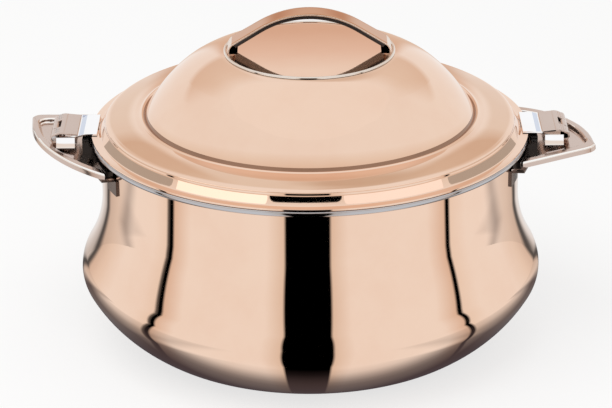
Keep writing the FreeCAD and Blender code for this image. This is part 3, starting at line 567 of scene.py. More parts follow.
def wall_line(inset, fine=FINE):
    """Corners down the pot's wall, from the neck's foot to the base, `inset` inside its face."""
    rise, run = NECK_FOOT - BULGE_HEIGHT, BULGE_RADIUS - NECK_RADIUS
    turn = 2 * math.degrees(math.atan(run / rise))
    curve = (run ** 2 + rise ** 2) / (2 * run)
    flare, swell = FLARE_SPLIT * curve, (1 - FLARE_SPLIT) * curve
    first, second, third = UNDER_BULGE.turn, BELLY.turn, FOOT_TURN

    def facing(degrees):
        return Vector((math.cos(math.radians(degrees)), -math.sin(math.radians(degrees))))

    bend = Vector((NECK_RADIUS + FLARE_SPLIT * run, NECK_FOOT - FLARE_SPLIT * rise))
    bulge = Vector((BULGE_RADIUS, BULGE_HEIGHT))
    waist = bulge + UNDER_BULGE.curve * (facing(first) - facing(0))
    keel = waist + BELLY.curve * (facing(second) - facing(first))
    heel = (keel.y - SHELL_LIFT) / (facing(second).y - facing(third).y)
    foot = keel + heel * (facing(third) - facing(second))
    line = (
        (Vector((NECK_RADIUS, NECK_FOOT)), 0, -arc_bow(flare + inset, turn)),
        (bend, -turn, arc_bow(swell - inset, turn)),
        (bulge, 0, arc_bow(UNDER_BULGE.curve - inset, first)),
        (waist, first, arc_bow(BELLY.curve - inset, second - first)),
        (keel, second, arc_bow(heel - inset, third - second)),
        (foot, third, 0.0),
    )
    found = []
    for place, degrees, bow in line:
        inner = place - inset * facing(degrees)
        found.append(Corner(inner.x, inner.y, bow, 0.0, fine))
    return found


def make_outer_shell():
    outside, inside = wall_line(0), wall_line(SHELL_WALL, COARSE)
    lip = outside[-1].place.x - SHELL_LIP
    seat = inside[-1].place.y
    mesh = turned([
        Corner(NECK_RADIUS, SHELL_TOP), *outside, Corner(lip, SHELL_LIFT), Corner(lip, seat),
        *back_along(inside), Corner(NECK_RADIUS - SHELL_WALL, SHELL_TOP)])
    finish_piece("pot_shell", mesh, ROSE, "pot", "outer_shell")


def make_inner_bowl():
    """The food bowl, whose edge runs out over the shell and curls under as the rim."""
    side_x, wall, top = BOWL_RADIUS, BOWL_WALL, RIM_TOP
    curl_x, curl_mid = RIM_RADIUS - RIM_CURL, top - RIM_CURL
    flat, corner_top = BOWL_RADIUS - BOWL_CORNER, BOWL_FLOOR + BOWL_CORNER
    curl, inner_curl = quarter(RIM_CURL), -quarter(RIM_CURL - wall)
    mesh = turned([
        Corner(0, BOWL_FLOOR), Corner(flat, BOWL_FLOOR, -quarter(BOWL_CORNER)),
        Corner(side_x, corner_top), Corner(side_x, top - RIM_ROUND, quarter(RIM_ROUND), 0, 12),
        Corner(side_x + RIM_ROUND, top), Corner(curl_x, top, curl, 0, 7),
        Corner(RIM_RADIUS, curl_mid, curl, 0, 7), Corner(curl_x, RIM_UNDER),
        Corner(curl_x - RIM_RETURN, RIM_UNDER), Corner(curl_x - RIM_RETURN, RIM_UNDER + wall),
        Corner(curl_x, RIM_UNDER + wall, inner_curl, 0, 15),
        Corner(RIM_RADIUS - wall, curl_mid, inner_curl, 0, 15), Corner(curl_x, top - wall),
        Corner(side_x + RIM_ROUND, top - wall, -quarter(RIM_ROUND - wall), 0, 20),
        Corner(side_x + wall, top - RIM_ROUND),
        Corner(side_x + wall, corner_top, quarter(BOWL_CORNER + wall), 0, COARSE),
        Corner(flat, BOWL_FLOOR - wall), Corner(0, BOWL_FLOOR - wall)])
    piece = finish_piece("rim_and_bowl", mesh, RIM, "pot", "inner_bowl")
    second_finish(piece, SATIN, lambda face: from_axis(face.center) < BOWL_RADIUS + RIM_ROUND / 2)


# ---- the lid

def fall(start, end):
    return math.atan2(start[1] - end[1], end[0] - start[0])


LID_TOP = [
    ((HOLE_RADIUS, HOLE_HEIGHT), DOME_TOP_BOW, 0.0),
    (DOME_MID, DOME_SIDE_BOW, 5.0),
    (GROOVE, BEAD_BOW, 0.35),
    ((BEAD_OUTER, LEDGE_TOP), LEDGE_BOW, 0.5),
    (LEDGE_END, SHOULDER_BOW, 0.5),
    (BAND_TOP, 0.0, 0.7),
    (BAND_FOOT, 0.0, 0.6),
]


def lid_line(depth, fine=FINE):
    """Corners of a face `depth` inside the lid's top, from the dish hole out to the flange."""
    (x, z), bow, _ = LID_TOP[0]
    first_fall = fall(LID_TOP[0][0], LID_TOP[1][0])
    line = [Corner(x, z - depth / math.cos(first_fall), bow, 0.0, fine)]
    places = [entry[0] for entry in LID_TOP] + [FLANGE_EDGE]
    for index in range(1, len(LID_TOP)):
        place, bow, soft = LID_TOP[index]
        above, below = fall(places[index - 1], place), fall(place, places[index + 1])
        lean = (above + below) / 2
        mitre = depth / math.cos((above - below) / 2)
        line.append(Corner(place[0] - mitre * math.sin(lean), place[1] - mitre * math.cos(lean),
                           bow, 0.0 if depth else soft, fine))
    return line


def make_lid_shell():
    mesh = turned([
        *lid_line(0.0), Corner(*FLANGE_EDGE, 0.0, 0.3), Corner(FLANGE_EDGE[0], FLANGE_TOP - LID_WALL),
        *back_along(lid_line(LID_WALL, COARSE))])
    piece = finish_piece("lid_pressing", mesh, ROSE_LID_LEDGE_SHADE, "lid", "lid_shell")
    middle, half = GROOVE[0] - 0.45, 0.48
    second_finish(piece, GROOVE_SHADE, lambda face: face.normal.z > 0.3
                  and abs(from_axis(face.center) - middle) < half)


def make_lid_dish():
    """The flat dish, whose rolled lip is given a paler colour than its floor, a painted highlight."""
    wall, lip, lip_base = DISH_WALL, DISH_LIP, HOLE_HEIGHT + DISH_WALL / 2
    rest = HOLE_HEIGHT + DISH_FIT
    mesh = turned([
        Corner(0, DISH_FLOOR), Corner(DISH_INNER, DISH_FLOOR),
        Corner(DISH_INNER, lip_base, quarter(lip), 0, 8),
        Corner(DISH_INNER + lip, lip_base + lip, quarter(lip), 0, 8),
        Corner(DISH_INNER + 2 * lip, lip_base), Corner(DISH_INNER + 2 * lip, HOLE_HEIGHT),
        Corner(HOLE_RADIUS + DISH_FIT, rest), Corner(DISH_OUTER, rest),
        Corner(DISH_OUTER, DISH_FLOOR - wall / 2), Corner(DISH_INNER, DISH_FLOOR - wall),
        Corner(0, DISH_FLOOR - wall)])
    piece = finish_piece("lid_bowl", mesh, ROSE_DISH, "lid", "lid_dish")
    # the rolled lip's paler colour is a painted highlight
    second_finish(piece, HEM_HIGHLIGHT, lambda face: from_axis(face.center) > DISH_INNER + 0.02)


def crown_corner(inset):
    """Where the grip's round crown meets its straight flank, `inset` below its upper face."""
    curve, centre, angle = GRIP_CURVE - inset, GRIP_TOP - GRIP_CURVE, math.radians(GRIP_ANGLE)
    return curve * math.sin(angle), centre + curve * math.cos(angle)


def flank_end(inset, back):
    """A corner down the flank, `back` inside the leg's outer face."""
    crown, x = crown_corner(inset), GRIP_X - back
    return x, crown[1] - (x - crown[0]) * math.tan(math.radians(GRIP_ANGLE))


def bent_strip(path, wall, width, edge=GRIP_SOFT):
    """A strip bent along a path of points in the XZ plane. It hangs below the path by its wall, and
    its width is a function of X."""
    across = 6
    mesh = bmesh.new()
    rail = [mesh.verts.new((place.x, -1, place.y)) for place in path]
    edges = [mesh.edges.new(pair) for pair in zip(rail, rail[1:])]
    for _ in range(across):
        grown = bmesh.ops.extrude_edge_only(mesh, edges=edges)["geom"]
        edges = only(grown, bmesh.types.BMEdge)
        bmesh.ops.translate(mesh, verts=only(grown, bmesh.types.BMVert), vec=(0, 2 / across, 0))
    for vert in mesh.verts:
        vert.co.y *= width(vert.co.x) / 2
    bmesh.ops.recalc_face_normals(mesh, faces=mesh.faces[:])
    if sum(face.normal.z * face.calc_area() for face in mesh.faces) < 0:
        bmesh.ops.reverse_faces(mesh, faces=mesh.faces[:])
    bmesh.ops.solidify(mesh, geom=mesh.faces[:], thickness=wall)
    bmesh.ops.recalc_face_normals(mesh, faces=mesh.faces[:])
    rims = [line for line in mesh.edges if line.calc_face_angle(0) > math.radians(60)
            and abs((line.verts[0].co - line.verts[1].co).normalized().y) < 0.7]
    softened(mesh, rims, edge, 2)
    return mesh


def waist(middle, end):
    """A strip's width along X: an arc from `end` at the feet to `middle` at the crown."""
    reach = GRIP_X + GRIP_BEND
    return lambda x: middle + (end - middle) * min(1.0, (x / reach) ** 2)


def open_path(corners):
    points = []
    for corner, after in zip(corners, corners[1:]):
        points.extend(side(corner, after)[:-1])
    return [*points, corners[-1].place]


def make_grip():
    bend, crown = flank_end(0, GRIP_BEND), crown_corner(0)
    leg_top = bend[1] - GRIP_BEND_DROP
    tab_x = GRIP_X - GRIP_WALL - GRIP_TAB
    tab = DISH_FLOOR - DISH_WALL - GRIP_TAB_GAP
    path = open_path([
        Corner(-tab_x, tab), Corner(-GRIP_X, tab), Corner(-GRIP_X, leg_top, GRIP_BEND_BOW, 0, 6),
        Corner(-bend[0], bend[1]),
        Corner(-crown[0], crown[1], arc_bow(GRIP_CURVE, 2 * GRIP_ANGLE), 0, 2),
        Corner(*crown), Corner(*bend, GRIP_BEND_BOW, 0, 6), Corner(GRIP_X, leg_top),
        Corner(GRIP_X, tab), Corner(tab_x, tab)])
    mesh = bent_strip(path, GRIP_WALL, waist(GRIP_WIDTH.middle, GRIP_WIDTH.end))
    piece = finish_piece("grip", mesh, ROSE_GRIP, "lid", "grip_strap")
    second_finish(piece, GRIP_EDGE, lambda face: abs(face.normal.y) > 0.45
                  or abs(face.center.x) > GRIP_FOOT * MM)


def make_grip_strip():
    inset, back = GRIP_WALL, GRIP_WALL + GRIP_BEND
    crown, end = crown_corner(inset), flank_end(inset, back)
    path = open_path([
        Corner(-end[0], end[1]),
        Corner(-crown[0], crown[1], arc_bow(GRIP_CURVE - inset, 2 * GRIP_ANGLE), 0, 2),
        Corner(*crown), Corner(*end)])
    narrow = 2 * STRIP_INSET
    mesh = bent_strip(path, STRIP_WALL, waist(GRIP_WIDTH.middle - narrow, GRIP_WIDTH.end - narrow))
    finish_piece("grip_underside", mesh, STRIP, "lid", "grip_liner")


def spigot_line(depth):
    corner = SPIGOT_CORNER - depth
    edge, low = SPIGOT_RADIUS - depth, SPIGOT_LOW + depth
    return [Corner(0, low + SPIGOT_CROWN),
            Corner(SPIGOT_RADIUS - SPIGOT_CORNER - SPIGOT_SLOPE, low, 0, 3.0),
            Corner(edge - corner, low, -quarter(corner), 0, 6), Corner(edge, low + corner)]


def make_lid_liner():
    top = LINER_UNDER + LINER_WALL
    mesh = turned([
        *spigot_line(0), Corner(SPIGOT_RADIUS, LINER_UNDER, 0, 0.4), Corner(LINER_EDGE, LINER_UNDER),
        Corner(LINER_EDGE, top), Corner(SPIGOT_RADIUS - LINER_WALL, top),
        *back_along(spigot_line(LINER_WALL))])
    finish_piece("lid_pan", mesh, SATIN, "lid", "lid_liner")


def make_seal():
    low = RIM_TOP + 0.2
    mesh = turned([
        Corner(SEAL_INNER, LINER_UNDER), Corner(SEAL_INNER, low, 0, 0.3),
        Corner(SEAL_OUTER - SEAL_LIP, low, 0, 0.3), Corner(SEAL_OUTER, RIM_TOP + SEAL_LIP, 0, 0.3),
        Corner(SEAL_OUTER, LINER_UNDER)])
    finish_piece("lid_seal", mesh, SEAL, "lid", "lid_gasket")


# ---- side fittings

SIDES = {"right": Matrix.Identity(4), "left": Matrix.Rotation(math.pi, 4, "Z")}
ON_HANDLE = Matrix.Translation((0, 0, LIP_PLANE)) @ Matrix.Rotation(-TILT, 4, "Y")


def ring_place(radius, degrees):
    return radius * math.cos(math.radians(degrees)), radius * math.sin(math.radians(degrees))


def ring_corner(radius, start, end):
    """A corner on a ring at `start`, whose edge follows the ring to `end`."""
    bow = arc_bow(radius, end - start)
    return Corner(*ring_place(radius, start), -bow if end > start else bow, 0, 2.0)


def front_line_at(radius):
    """Where the plate's straight front edge crosses a ring about the pot."""
    root = Vector(ring_place(ROOT, FRONT_ANGLE))
    way = (Vector(NEAR_TIP) - root).normalized()
    reach = root.dot(way)
    return root + way * (math.sqrt(reach ** 2 + radius ** 2 - ROOT ** 2) - reach)


def lip_outline(front_root):
    """The raised lip: out along the plate's edge, and back along the pan's."""
    front_turn = math.degrees(math.atan2(front_root.y, front_root.x))
    front, back = FRONT_ANGLE + PAN_FRONT_TURN, BACK_ANGLE - PAN_BACK_TURN
    return outline([
        Corner(*front_root), Corner(*NEAR_TIP, -TIP_BOW, 3.0, 4.0), Corner(*TIP, -EDGE_BOW, 5.0, 2.0),
        ring_corner(LIP_ROOT, BACK_ANGLE, back),
        Corner(*ring_place(LIP_ROOT, back), PAN_EDGE_BOW, 0, 2.0),
        Corner(*PAN_TIP, PAN_CORNER_BOW, 2.0, 6.0), Corner(*PAN_NEAR, 0, 2.0),
        ring_corner(LIP_ROOT, front, front_turn)])


def level_edges(mesh, height):
    """Edges of the plate that run level at a height, away from its root."""
    return [line for line in mesh.edges
            if all(abs(vert.co.z - height) < 1e-4 for vert in line.verts)
            and ((line.verts[0].co + line.verts[1].co) / 2).xy.length > LIP_ROOT + 0.2]


def make_handle_plate(name):
    """A fin-shaped plate: a soft raised lip round a pan."""
    front_root = front_line_at(LIP_ROOT)
    back_root = Vector(ring_place(LIP_ROOT, BACK_ANGLE))
    lip = lip_outline(front_root)
    back_index = next(index for index, place in enumerate(lip) if (place - back_root).length < 1e-3)
    mesh = bmesh.new()
    verts = [mesh.verts.new((place.x, place.y, -PAN_DEPTH)) for place in lip]
    lip_face = mesh.faces.new(verts)
    root = open_path([Corner(*front_root), ring_corner(ROOT, FRONT_ANGLE, BACK_ANGLE),
                      Corner(*ring_place(ROOT, BACK_ANGLE)), Corner(*back_root)])
    rail = [mesh.verts.new((place.x, place.y, -PAN_DEPTH)) for place in root[1:-1]]
    pan_face = mesh.faces.new(verts[back_index:] + verts[:1] + rail)
    bmesh.ops.recalc_face_normals(mesh, faces=mesh.faces[:])
    # down to the plate's underside, then up to the lip's top
    grown = bmesh.ops.extrude_face_region(mesh, geom=[lip_face, pan_face], use_keep_orig=True)["geom"]
    bmesh.ops.translate(mesh, verts=only(grown, bmesh.types.BMVert), vec=(0, 0, PAN_DEPTH - PLATE_DEPTH))
    bmesh.ops.recalc_face_normals(mesh, faces=mesh.faces[:])
    top = pushed(mesh, [lip_face], (0, 0, PAN_DEPTH))
    if lip_face.is_valid and lip_face not in top:
        mesh.faces.remove(lip_face)
    bmesh.ops.recalc_face_normals(mesh, faces=mesh.faces[:])
    crest = level_edges(mesh, 0.0)
    floor = [line for line in level_edges(mesh, -PAN_DEPTH) if line.calc_face_angle_signed(0) < -0.5]
    softened(mesh, crest, LIP_ROUND, 5, False)
    softened(mesh, [line for line in floor if line.is_valid], PAN_ROUND, 4, False)
    piece = finish_piece(f"handle_{name}", mesh, ROSE_HANDLE, "pot", f"handle_plate_{name}",
                         place=SIDES[name] @ ON_HANDLE, weighted=True)
    # the lip's sloped crest faces get a near-white painted highlight
    second_finish(piece, LIP_HIGHLIGHT, lambda face: 0.30 < face.normal.z < 0.985
                  and abs(face.normal.y) > 0.16)


def side_profile(corners, width, edge, middle=0.0):
    """An outline of the XZ plane padded along Y about `middle`, with its long edges rounded."""
    mesh = bmesh.new()
    face = mesh.faces.new([mesh.verts.new((place.x, -width / 2, place.y)) for place in outline(corners)])
    pushed(mesh, [face], (0, width, 0))
    if face.is_valid:
        mesh.faces.remove(face)
    ends = [[vert for vert in mesh.verts if vert.co.y * way > 0] for way in (-1, 1)]
    for verts in ends:
        if not any(all(corner in verts for corner in face.verts) for face in mesh.faces):
            bmesh.ops.contextual_create(mesh, geom=verts)
    bmesh.ops.recalc_face_normals(mesh, faces=mesh.faces[:])
    rims = [line for line in mesh.edges
            if abs(line.verts[0].co.y - line.verts[1].co.y) < 1e-6 and line.calc_face_angle(0) > 1.0]
    softened(mesh, rims, edge)
    bmesh.ops.translate(mesh, verts=mesh.verts[:], vec=(0, middle, 0))
    return mesh


def cut_at(mesh, x, outside):
    """Keep the part of a solid outside or inside a plane across X, and close the cut."""
    bmesh.ops.bisect_plane(mesh, geom=mesh.verts[:] + mesh.edges[:] + mesh.faces[:], plane_co=(x, 0, 0),
                           plane_no=(1, 0, 0), clear_inner=outside, clear_outer=not outside)
    bmesh.ops.holes_fill(mesh, edges=[line for line in mesh.edges if line.is_boundary], sides=0)
    return mesh


def joined(parts):
    """Several meshes as one."""
    whole = bmesh.new()
    for part in parts:
        data = bpy.data.meshes.new("part")
        part.to_mesh(data)
        part.free()
        whole.from_mesh(data)
        bpy.data.meshes.remove(data)
    return whole


def tail_top(x):
    return HOOK_UNDER + CLIP_WALL - HOOK_STEP_DROP + (x - HOOK_STEP) * TAIL_RISE / HOOK_TAIL


def make_clip_hook(name):
    wall = CLIP_WALL
    mesh = side_profile([
        Corner(HOOK_TIP, HOOK_UNDER, 0, 0.25), Corner(HOOK_BEND, HOOK_UNDER, 0, 0.8),
        Corner(HOOK_STEP, tail_top(HOOK_STEP) - wall, 0, 0.8), Corner(TAIL_END, tail_top(TAIL_END) - wall),
        Corner(TAIL_END, tail_top(TAIL_END)), Corner(HOOK_STEP, tail_top(HOOK_STEP), 0, 0.5),
        Corner(HOOK_BEND, HOOK_UNDER + wall, 0, 0.6), Corner(HOOK_TIP, HOOK_UNDER + wall, 0, 0.35)],
        CLIP_WIDTH, CLIP_SOFT)
    piece = finish_piece(f"hook_{name}", mesh, CHROME, f"clip_{name}", f"clip_hook_{name}",
                         place=SIDES[name], weighted=True)
    # the bend's sloped faces get a painted bluish reflection
    second_finish(piece, CHROME_BEND_REFLECTION, lambda face: face.normal.z > 0.5
                  and 0.22 < abs(face.normal.x) < 0.5
                  and HOOK_BEND * MM < abs(face.center.x) < HOOK_STEP * MM)


def make_clip_lever(name):
    """The tongue that the thumb lifts, rolled round the hinge pin at its outer end."""
    wall, pin_x, pin_z = CLIP_WALL, PIN[0], PIN[1]
    start, crest = HOOK_STEP + LEVER_LAP, TAIL_END + LEVER_LAP
    end, rest = math.radians(180 + ROLL_OPENING), 90 - ROLL_OPENING
    corners = [
        Corner(start, tail_top(start) + wall, 0, 0.3),
        Corner(crest, tail_top(crest) + wall, LEVER_BOW, 0, 4),
        Corner(pin_x, pin_z + ROLL, quarter(ROLL), 0, 8), Corner(pin_x + ROLL, pin_z, quarter(ROLL), 0, 8),
        Corner(pin_x, pin_z - ROLL, arc_bow(ROLL, rest), 0, 8),
        Corner(pin_x + ROLL * math.cos(end), pin_z + ROLL * math.sin(end)),
        Corner(pin_x + PIN_HOLE * math.cos(end), pin_z + PIN_HOLE * math.sin(end),
               -arc_bow(PIN_HOLE, rest), 0, 10),
        Corner(pin_x, pin_z - PIN_HOLE, -quarter(PIN_HOLE), 0, 10),
        Corner(pin_x + PIN_HOLE, pin_z, -quarter(PIN_HOLE), 0, 10),
        Corner(pin_x, pin_z + PIN_HOLE, -LEVER_BOW, 0, 4), Corner(crest, tail_top(crest)),
        Corner(start, tail_top(start))]
    cut, half = pin_x - KNUCKLE_SLOT, (CLIP_WIDTH / 2 - KNUCKLE_HALF) / 2
    tongue = cut_at(side_profile(corners, CLIP_WIDTH, LEVER_SOFT), cut, False)
    rolls = [cut_at(side_profile(corners, 2 * half, LEVER_SOFT, way * (KNUCKLE_HALF + half)),
                    cut - 0.05, True) for way in (-1, 1)]
    finish_piece(f"lever_{name}", joined([tongue, *rolls]), ROSE_HANDLE, f"clip_{name}",
                 f"clip_lever_{name}", place=SIDES[name], weighted=True)


def make_clip_cheeks(name):
    """The folded sides of the clip: below the tongue they flare outwards to its foot."""
    high, flush, low = tail_top(HOOK_STEP) - CLIP_WALL - 0.05, CLIP_WIDTH / 2, CHEEK.low
    corners = [
        Corner(flush - CHEEK.depth, low), Corner(flush + CHEEK.flare, low, CHEEK.swell, 0.5, 6),
        Corner(flush + 0.1, high, 0, 0.5), Corner(flush - CHEEK.depth, high)]
    length, middle = CHEEK.end - CHEEK.start, (CHEEK.start + CHEEK.end) / 2
    parts = []
    for way in (-1, 1):
        part = side_profile(corners, length, CHEEK.soft, -way * middle)
        part.transform(Matrix.Rotation(way * math.pi / 2, 4, "Z"))
        parts.append(part)
    finish_piece(f"cheeks_{name}", joined(parts), CHROME, f"clip_{name}", None,
                 place=SIDES[name], weighted=True)


def dress_plain_nodes():
    """Small rigid parts whose shape is right keep their solids and get their finish here."""
    plain = {"base_cover": BASE, "foot_ring": RUBBER, "fill_plug": BASE, "body_insulation": FOAM,
             "lid_insulation": FOAM}
    for name in SIDES:
        plain.update({f"handle_bracket_{name}": BLACK, f"mount_strap_{name}": STRAP,
                      f"handle_screws_{name}": SCREW, f"clip_rivets_{name}": SCREW,
                      f"clip_pin_{name}": SCREW, f"clip_hinge_{name}": ROSE_HANDLE})
    for node, material in plain.items():
        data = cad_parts[node].data
        data.materials.clear()
        data.materials.append(material)


# ---- studio

CAMERA_TARGET = Vector((-2.7, 0.0, 82.3)) * MM
CAMERA_DISTANCE = 1.645
CAMERA_ELEVATION = math.radians(22.845)
CAMERA_ROLL = math.radians(-0.375)
CAMERA_LENS = 152.9
CAMERA_AWAY = Vector((0, -math.cos(CAMERA_ELEVATION), math.sin(CAMERA_ELEVATION)))


def place_camera():
    camera = bpy.data.objects.new("camera", bpy.data.cameras.new("camera"))
    bpy.context.scene.collection.objects.link(camera)
    camera.location = CAMERA_TARGET + CAMERA_DISTANCE * CAMERA_AWAY
    aim = (-CAMERA_AWAY).to_track_quat("-Z", "Y").to_matrix().to_4x4()
    camera.rotation_euler = (aim @ Matrix.Rotation(CAMERA_ROLL, 4, "Z")).to_euler()
    camera.data.lens = CAMERA_LENS
    camera.data.sensor_width = 36.0
    camera.data.clip_start = 0.05
    bpy.context.scene.camera = camera


def reflected_only(name, mesh, material):
    """A studio card that is seen in polished metal, and by nothing else."""
    card = as_object(name, mesh, material)
    for rays in ("camera", "diffuse", "shadow", "transmission", "volume_scatter"):
        setattr(card, f"visible_{rays}", False)


def glowing(name, shader, lamp=False):
    """A material whose shader is built by a function. Only a `lamp` is sampled as a light."""
    material = bpy.data.materials.new(name)
    material.use_nodes = True
    if not lamp:
        material.cycles.emission_sampling = "NONE"
    nodes = Nodes(material.node_tree)
    nodes.put(nodes.add("ShaderNodeOutputMaterial").inputs[0], shader(nodes))
    return material


TENT = SimpleNamespace(radius=0.431, height=0.720, pivot=(-0.00094, -0.060))
SHEETS = SimpleNamespace(height=0.58, slope=0.42, least=0.3)    # where they end, lower at the back
BEHIND = (0.14, 0.32)    # where the tent's back takes over
TAN_PATCH = SimpleNamespace(x=0.075, half_width=0.115, z=0.600, half_height=0.160)


def dark_line(start, end, before, after, step=0.3):
    """Stops of a black line on the tent, between two tones."""
    return [(start - step, before), (start, grey(0.0)), (end, grey(0.0)), (end + step, after)]


def tent_tones():
    """Tone of the light tent by bearing, in degrees to the right of its front gap's middle: the gap,
    a seam at each side and a dusky fold behind each handle."""
    white, edge = grey(1.0), (0.84, 0.75, 0.67, 1.0)
    warm, pale = (0.82, 0.67, 0.57, 1.0), (0.95, 0.90, 0.85, 1.0)
    dusk, haze = (0.76, 0.65, 0.57, 1.0), (0.90, 0.82, 0.75, 1.0)
    return [
        (-180.0, grey(0.96)), (-142.0, grey(0.93)), (-136.0, grey(0.62)), (-133.4, grey(0.09)),
        (-131.4, grey(0.10)), (-128.5, dusk), (-120.0, haze), (-107.0, white), (-88.0, white),
        *dark_line(-78.7, -75.9, pale, warm), (-65.0, white), (-23.0, white),
        *dark_line(-12.9, 10.0, edge, edge, 0.4), (20.0, white), (63.0, white),
        *dark_line(74.3, 76.6, warm, pale), (87.0, white), (110.0, white), (123.0, haze),
        (131.0, dusk), (133.8, grey(0.10)), (136.0, grey(0.09)), (140.0, grey(0.93))]


def make_tent_group():
    """The tent's tone at a place, by its bearing from the pivot. The tent and the floor share it."""
    nodes, _, result = new_group("tent_sheets", {}, {"Color": "Color"})
    x, y, _ = nodes.places()
    across = nodes.calc("SUBTRACT", x, TENT.pivot[0])
    ahead = nodes.calc("SUBTRACT", TENT.pivot[1], y)
    bearing = nodes.calc("ADD", nodes.calc("DIVIDE", nodes.calc("ARCTAN2", across, ahead), math.tau), 0.5)
    nodes.put(result["Color"],
              nodes.ramp(bearing, [(degrees / 360 + 0.5, tone) for degrees, tone in tent_tones()]))
    return nodes.tree


TENT_TONE = make_tent_group()


def tent_tone(nodes):
    return nodes.add("ShaderNodeGroup", node_tree=TENT_TONE).outputs["Color"]


def tent_front(nodes, height):
    """Shade by height before and beside the pot."""
    return nodes.ramp(nodes.calc("DIVIDE", height, 0.8), [
        (0.36, grey(1.0)), (0.42, (0.84, 0.70, 0.60, 1)), (0.50, (0.86, 0.74, 0.65, 1)),
        (0.58, (0.93, 0.87, 0.81, 1)), (0.68, grey(1.0))])


def tent_back(nodes, x, z):
    """Shade by height behind the pot: tan low in the middle, for the flat dish, and tan higher up
    at the sides, for the dome's flanks."""
    middle = nodes.ramp(nodes.share(z, 0.28, 0.48), [
        (0.10, (0.80, 0.62, 0.50, 1)), (0.21, (0.79, 0.59, 0.48, 1)), (0.29, (0.875, 0.71, 0.62, 1)),
        (0.38, (0.97, 0.91, 0.86, 1)), (0.80, grey(1.0))])
    sides = nodes.ramp(nodes.share(z, 0.30, 0.70), [
        (0.07, grey(1.0)), (0.17, (0.85, 0.73, 0.64, 1)), (0.60, (0.90, 0.82, 0.75, 1)), (1.0, grey(1.0))])
    return nodes.mixed(nodes.spread(nodes.calc("ABSOLUTE", x), 0.115, 0.155), middle, sides)


def tan_patch(nodes, x, z):
    """A mask of the tan patch high on the back of the tent, for the dome's right shoulder."""
    away = nodes.length(nodes.share(x, TAN_PATCH.x, TAN_PATCH.x + TAN_PATCH.half_width),
                        nodes.share(z, TAN_PATCH.z, TAN_PATCH.z + TAN_PATCH.half_height))
    return nodes.spread(away, 0.35, 1.1, 1.0, 0.0)


def tent_shader(nodes):
    x, y, z = nodes.places()
    end = nodes.calc("MULTIPLY_ADD", y, -SHEETS.slope / TENT.radius, SHEETS.height)
    height = nodes.calc("DIVIDE", z, nodes.calc("MAXIMUM", end, SHEETS.least))
    behind = nodes.spread(y, *BEHIND)
    shade = nodes.mixed(behind, tent_front(nodes, height), tent_back(nodes, x, z))
    shade = nodes.mixed(nodes.calc("MULTIPLY", behind, tan_patch(nodes, x, z)), shade,
                        (0.80, 0.70, 0.62, 1.0))
    sheets = nodes.mixed(nodes.spread(height, 0.285, 0.33), tent_tone(nodes), grey(0.98))
    return nodes.light(EMISSION, nodes.mixed(1.0, sheets, shade, "MULTIPLY"))


def pitch_tent():
    """A round light tent that only polished metal sees."""
    mesh = bmesh.new()
    bmesh.ops.create_circle(mesh, segments=144, radius=TENT.radius)
    grown = bmesh.ops.extrude_edge_only(mesh, edges=mesh.edges[:])["geom"]
    bmesh.ops.translate(mesh, verts=only(grown, bmesh.types.BMVert), vec=(0, 0, TENT.height))
    reflected_only("tent", mesh, glowing("tent", tent_shader))


BAND_LEAN = math.atan((BAND_FOOT[0] - BAND_TOP[0]) / (BAND_TOP[1] - BAND_FOOT[1]))


def seen_from_band(bearing, reach):
    """The place, `reach` away, that the camera sees mirrored in the lid's band."""
    turn = math.radians(bearing)
    radius = (BAND_FOOT[0] + BAND_TOP[0]) / 2
    place = Vector((radius * math.sin(turn), -radius * math.cos(turn), (BAND_FOOT[1] + BAND_TOP[1]) / 2))
    sight = (place - (CAMERA_TARGET / MM + CAMERA_DISTANCE / MM * CAMERA_AWAY)).normalized()
    facing = Vector((math.cos(BAND_LEAN) * math.sin(turn), -math.cos(BAND_LEAN) * math.cos(turn),
                     math.sin(BAND_LEAN)))
    way = sight - 2 * sight.dot(facing) * facing
    return place + way * (reach / math.hypot(way.x, way.y))


def hang_strip(name, start, end, half, round_off, colour, strength=1.0, reach=66.0):
    """A glowing strip, `half` high each way, that the lid's band mirrors between two bearings. Its
    ends are rounded over `round_off` degrees."""
    steps = 28
    mesh = bmesh.new()
    low, high = [], []
    for step in range(steps + 1):
        share = (1 - math.cos(math.pi * step / steps)) / 2
        place = seen_from_band(start + (end - start) * share, reach)
        inside = min(share, 1 - share) * abs(end - start) / round_off
        tall = half * math.sqrt(max(0.0, 1 - (1 - min(1.0, inside)) ** 2)) + 0.02
        low.append(mesh.verts.new((place - Vector((0, 0, tall))) * MM))
        high.append(mesh.verts.new((place + Vector((0, 0, tall))) * MM))
    for rail in (low, high):
        for pair in zip(rail, rail[1:]):
            mesh.edges.new(pair)
    bmesh.ops.bridge_loops(mesh, edges=mesh.edges[:])
    light = glowing(name, lambda nodes: nodes.light(EMISSION, colour, strength), True)
    reflected_only(name, mesh, light)


def hang_strips():
    hang_strip("strip_front", -10.7, 8.1, 4.2, 1.6, grey(0.0), 0.0)
    hang_strip("strip_left", -37.5, -11.2, 6.5, 1.0, (1.0, 1.0, 0.97, 1.0), 1.45)
    dusk = (0.52, 0.50, 0.47, 1.0)
    hang_strip("strip_dusk_left", -74.0, -39.0, 6.3, 1.0, dusk, reach=125.0)
    hang_strip("strip_dusk_right", 39.0, 74.0, 6.3, 1.0, dusk, reach=125.0)
    hang_strip("strip_right", 8.6, 37.0, 6.5, 1.0, (1.0, 0.97, 0.97, 1.0), 1.2)


SHADE = SimpleNamespace(behind=0.120, start=0.215, end=0.365)    # round, about a place behind the pot


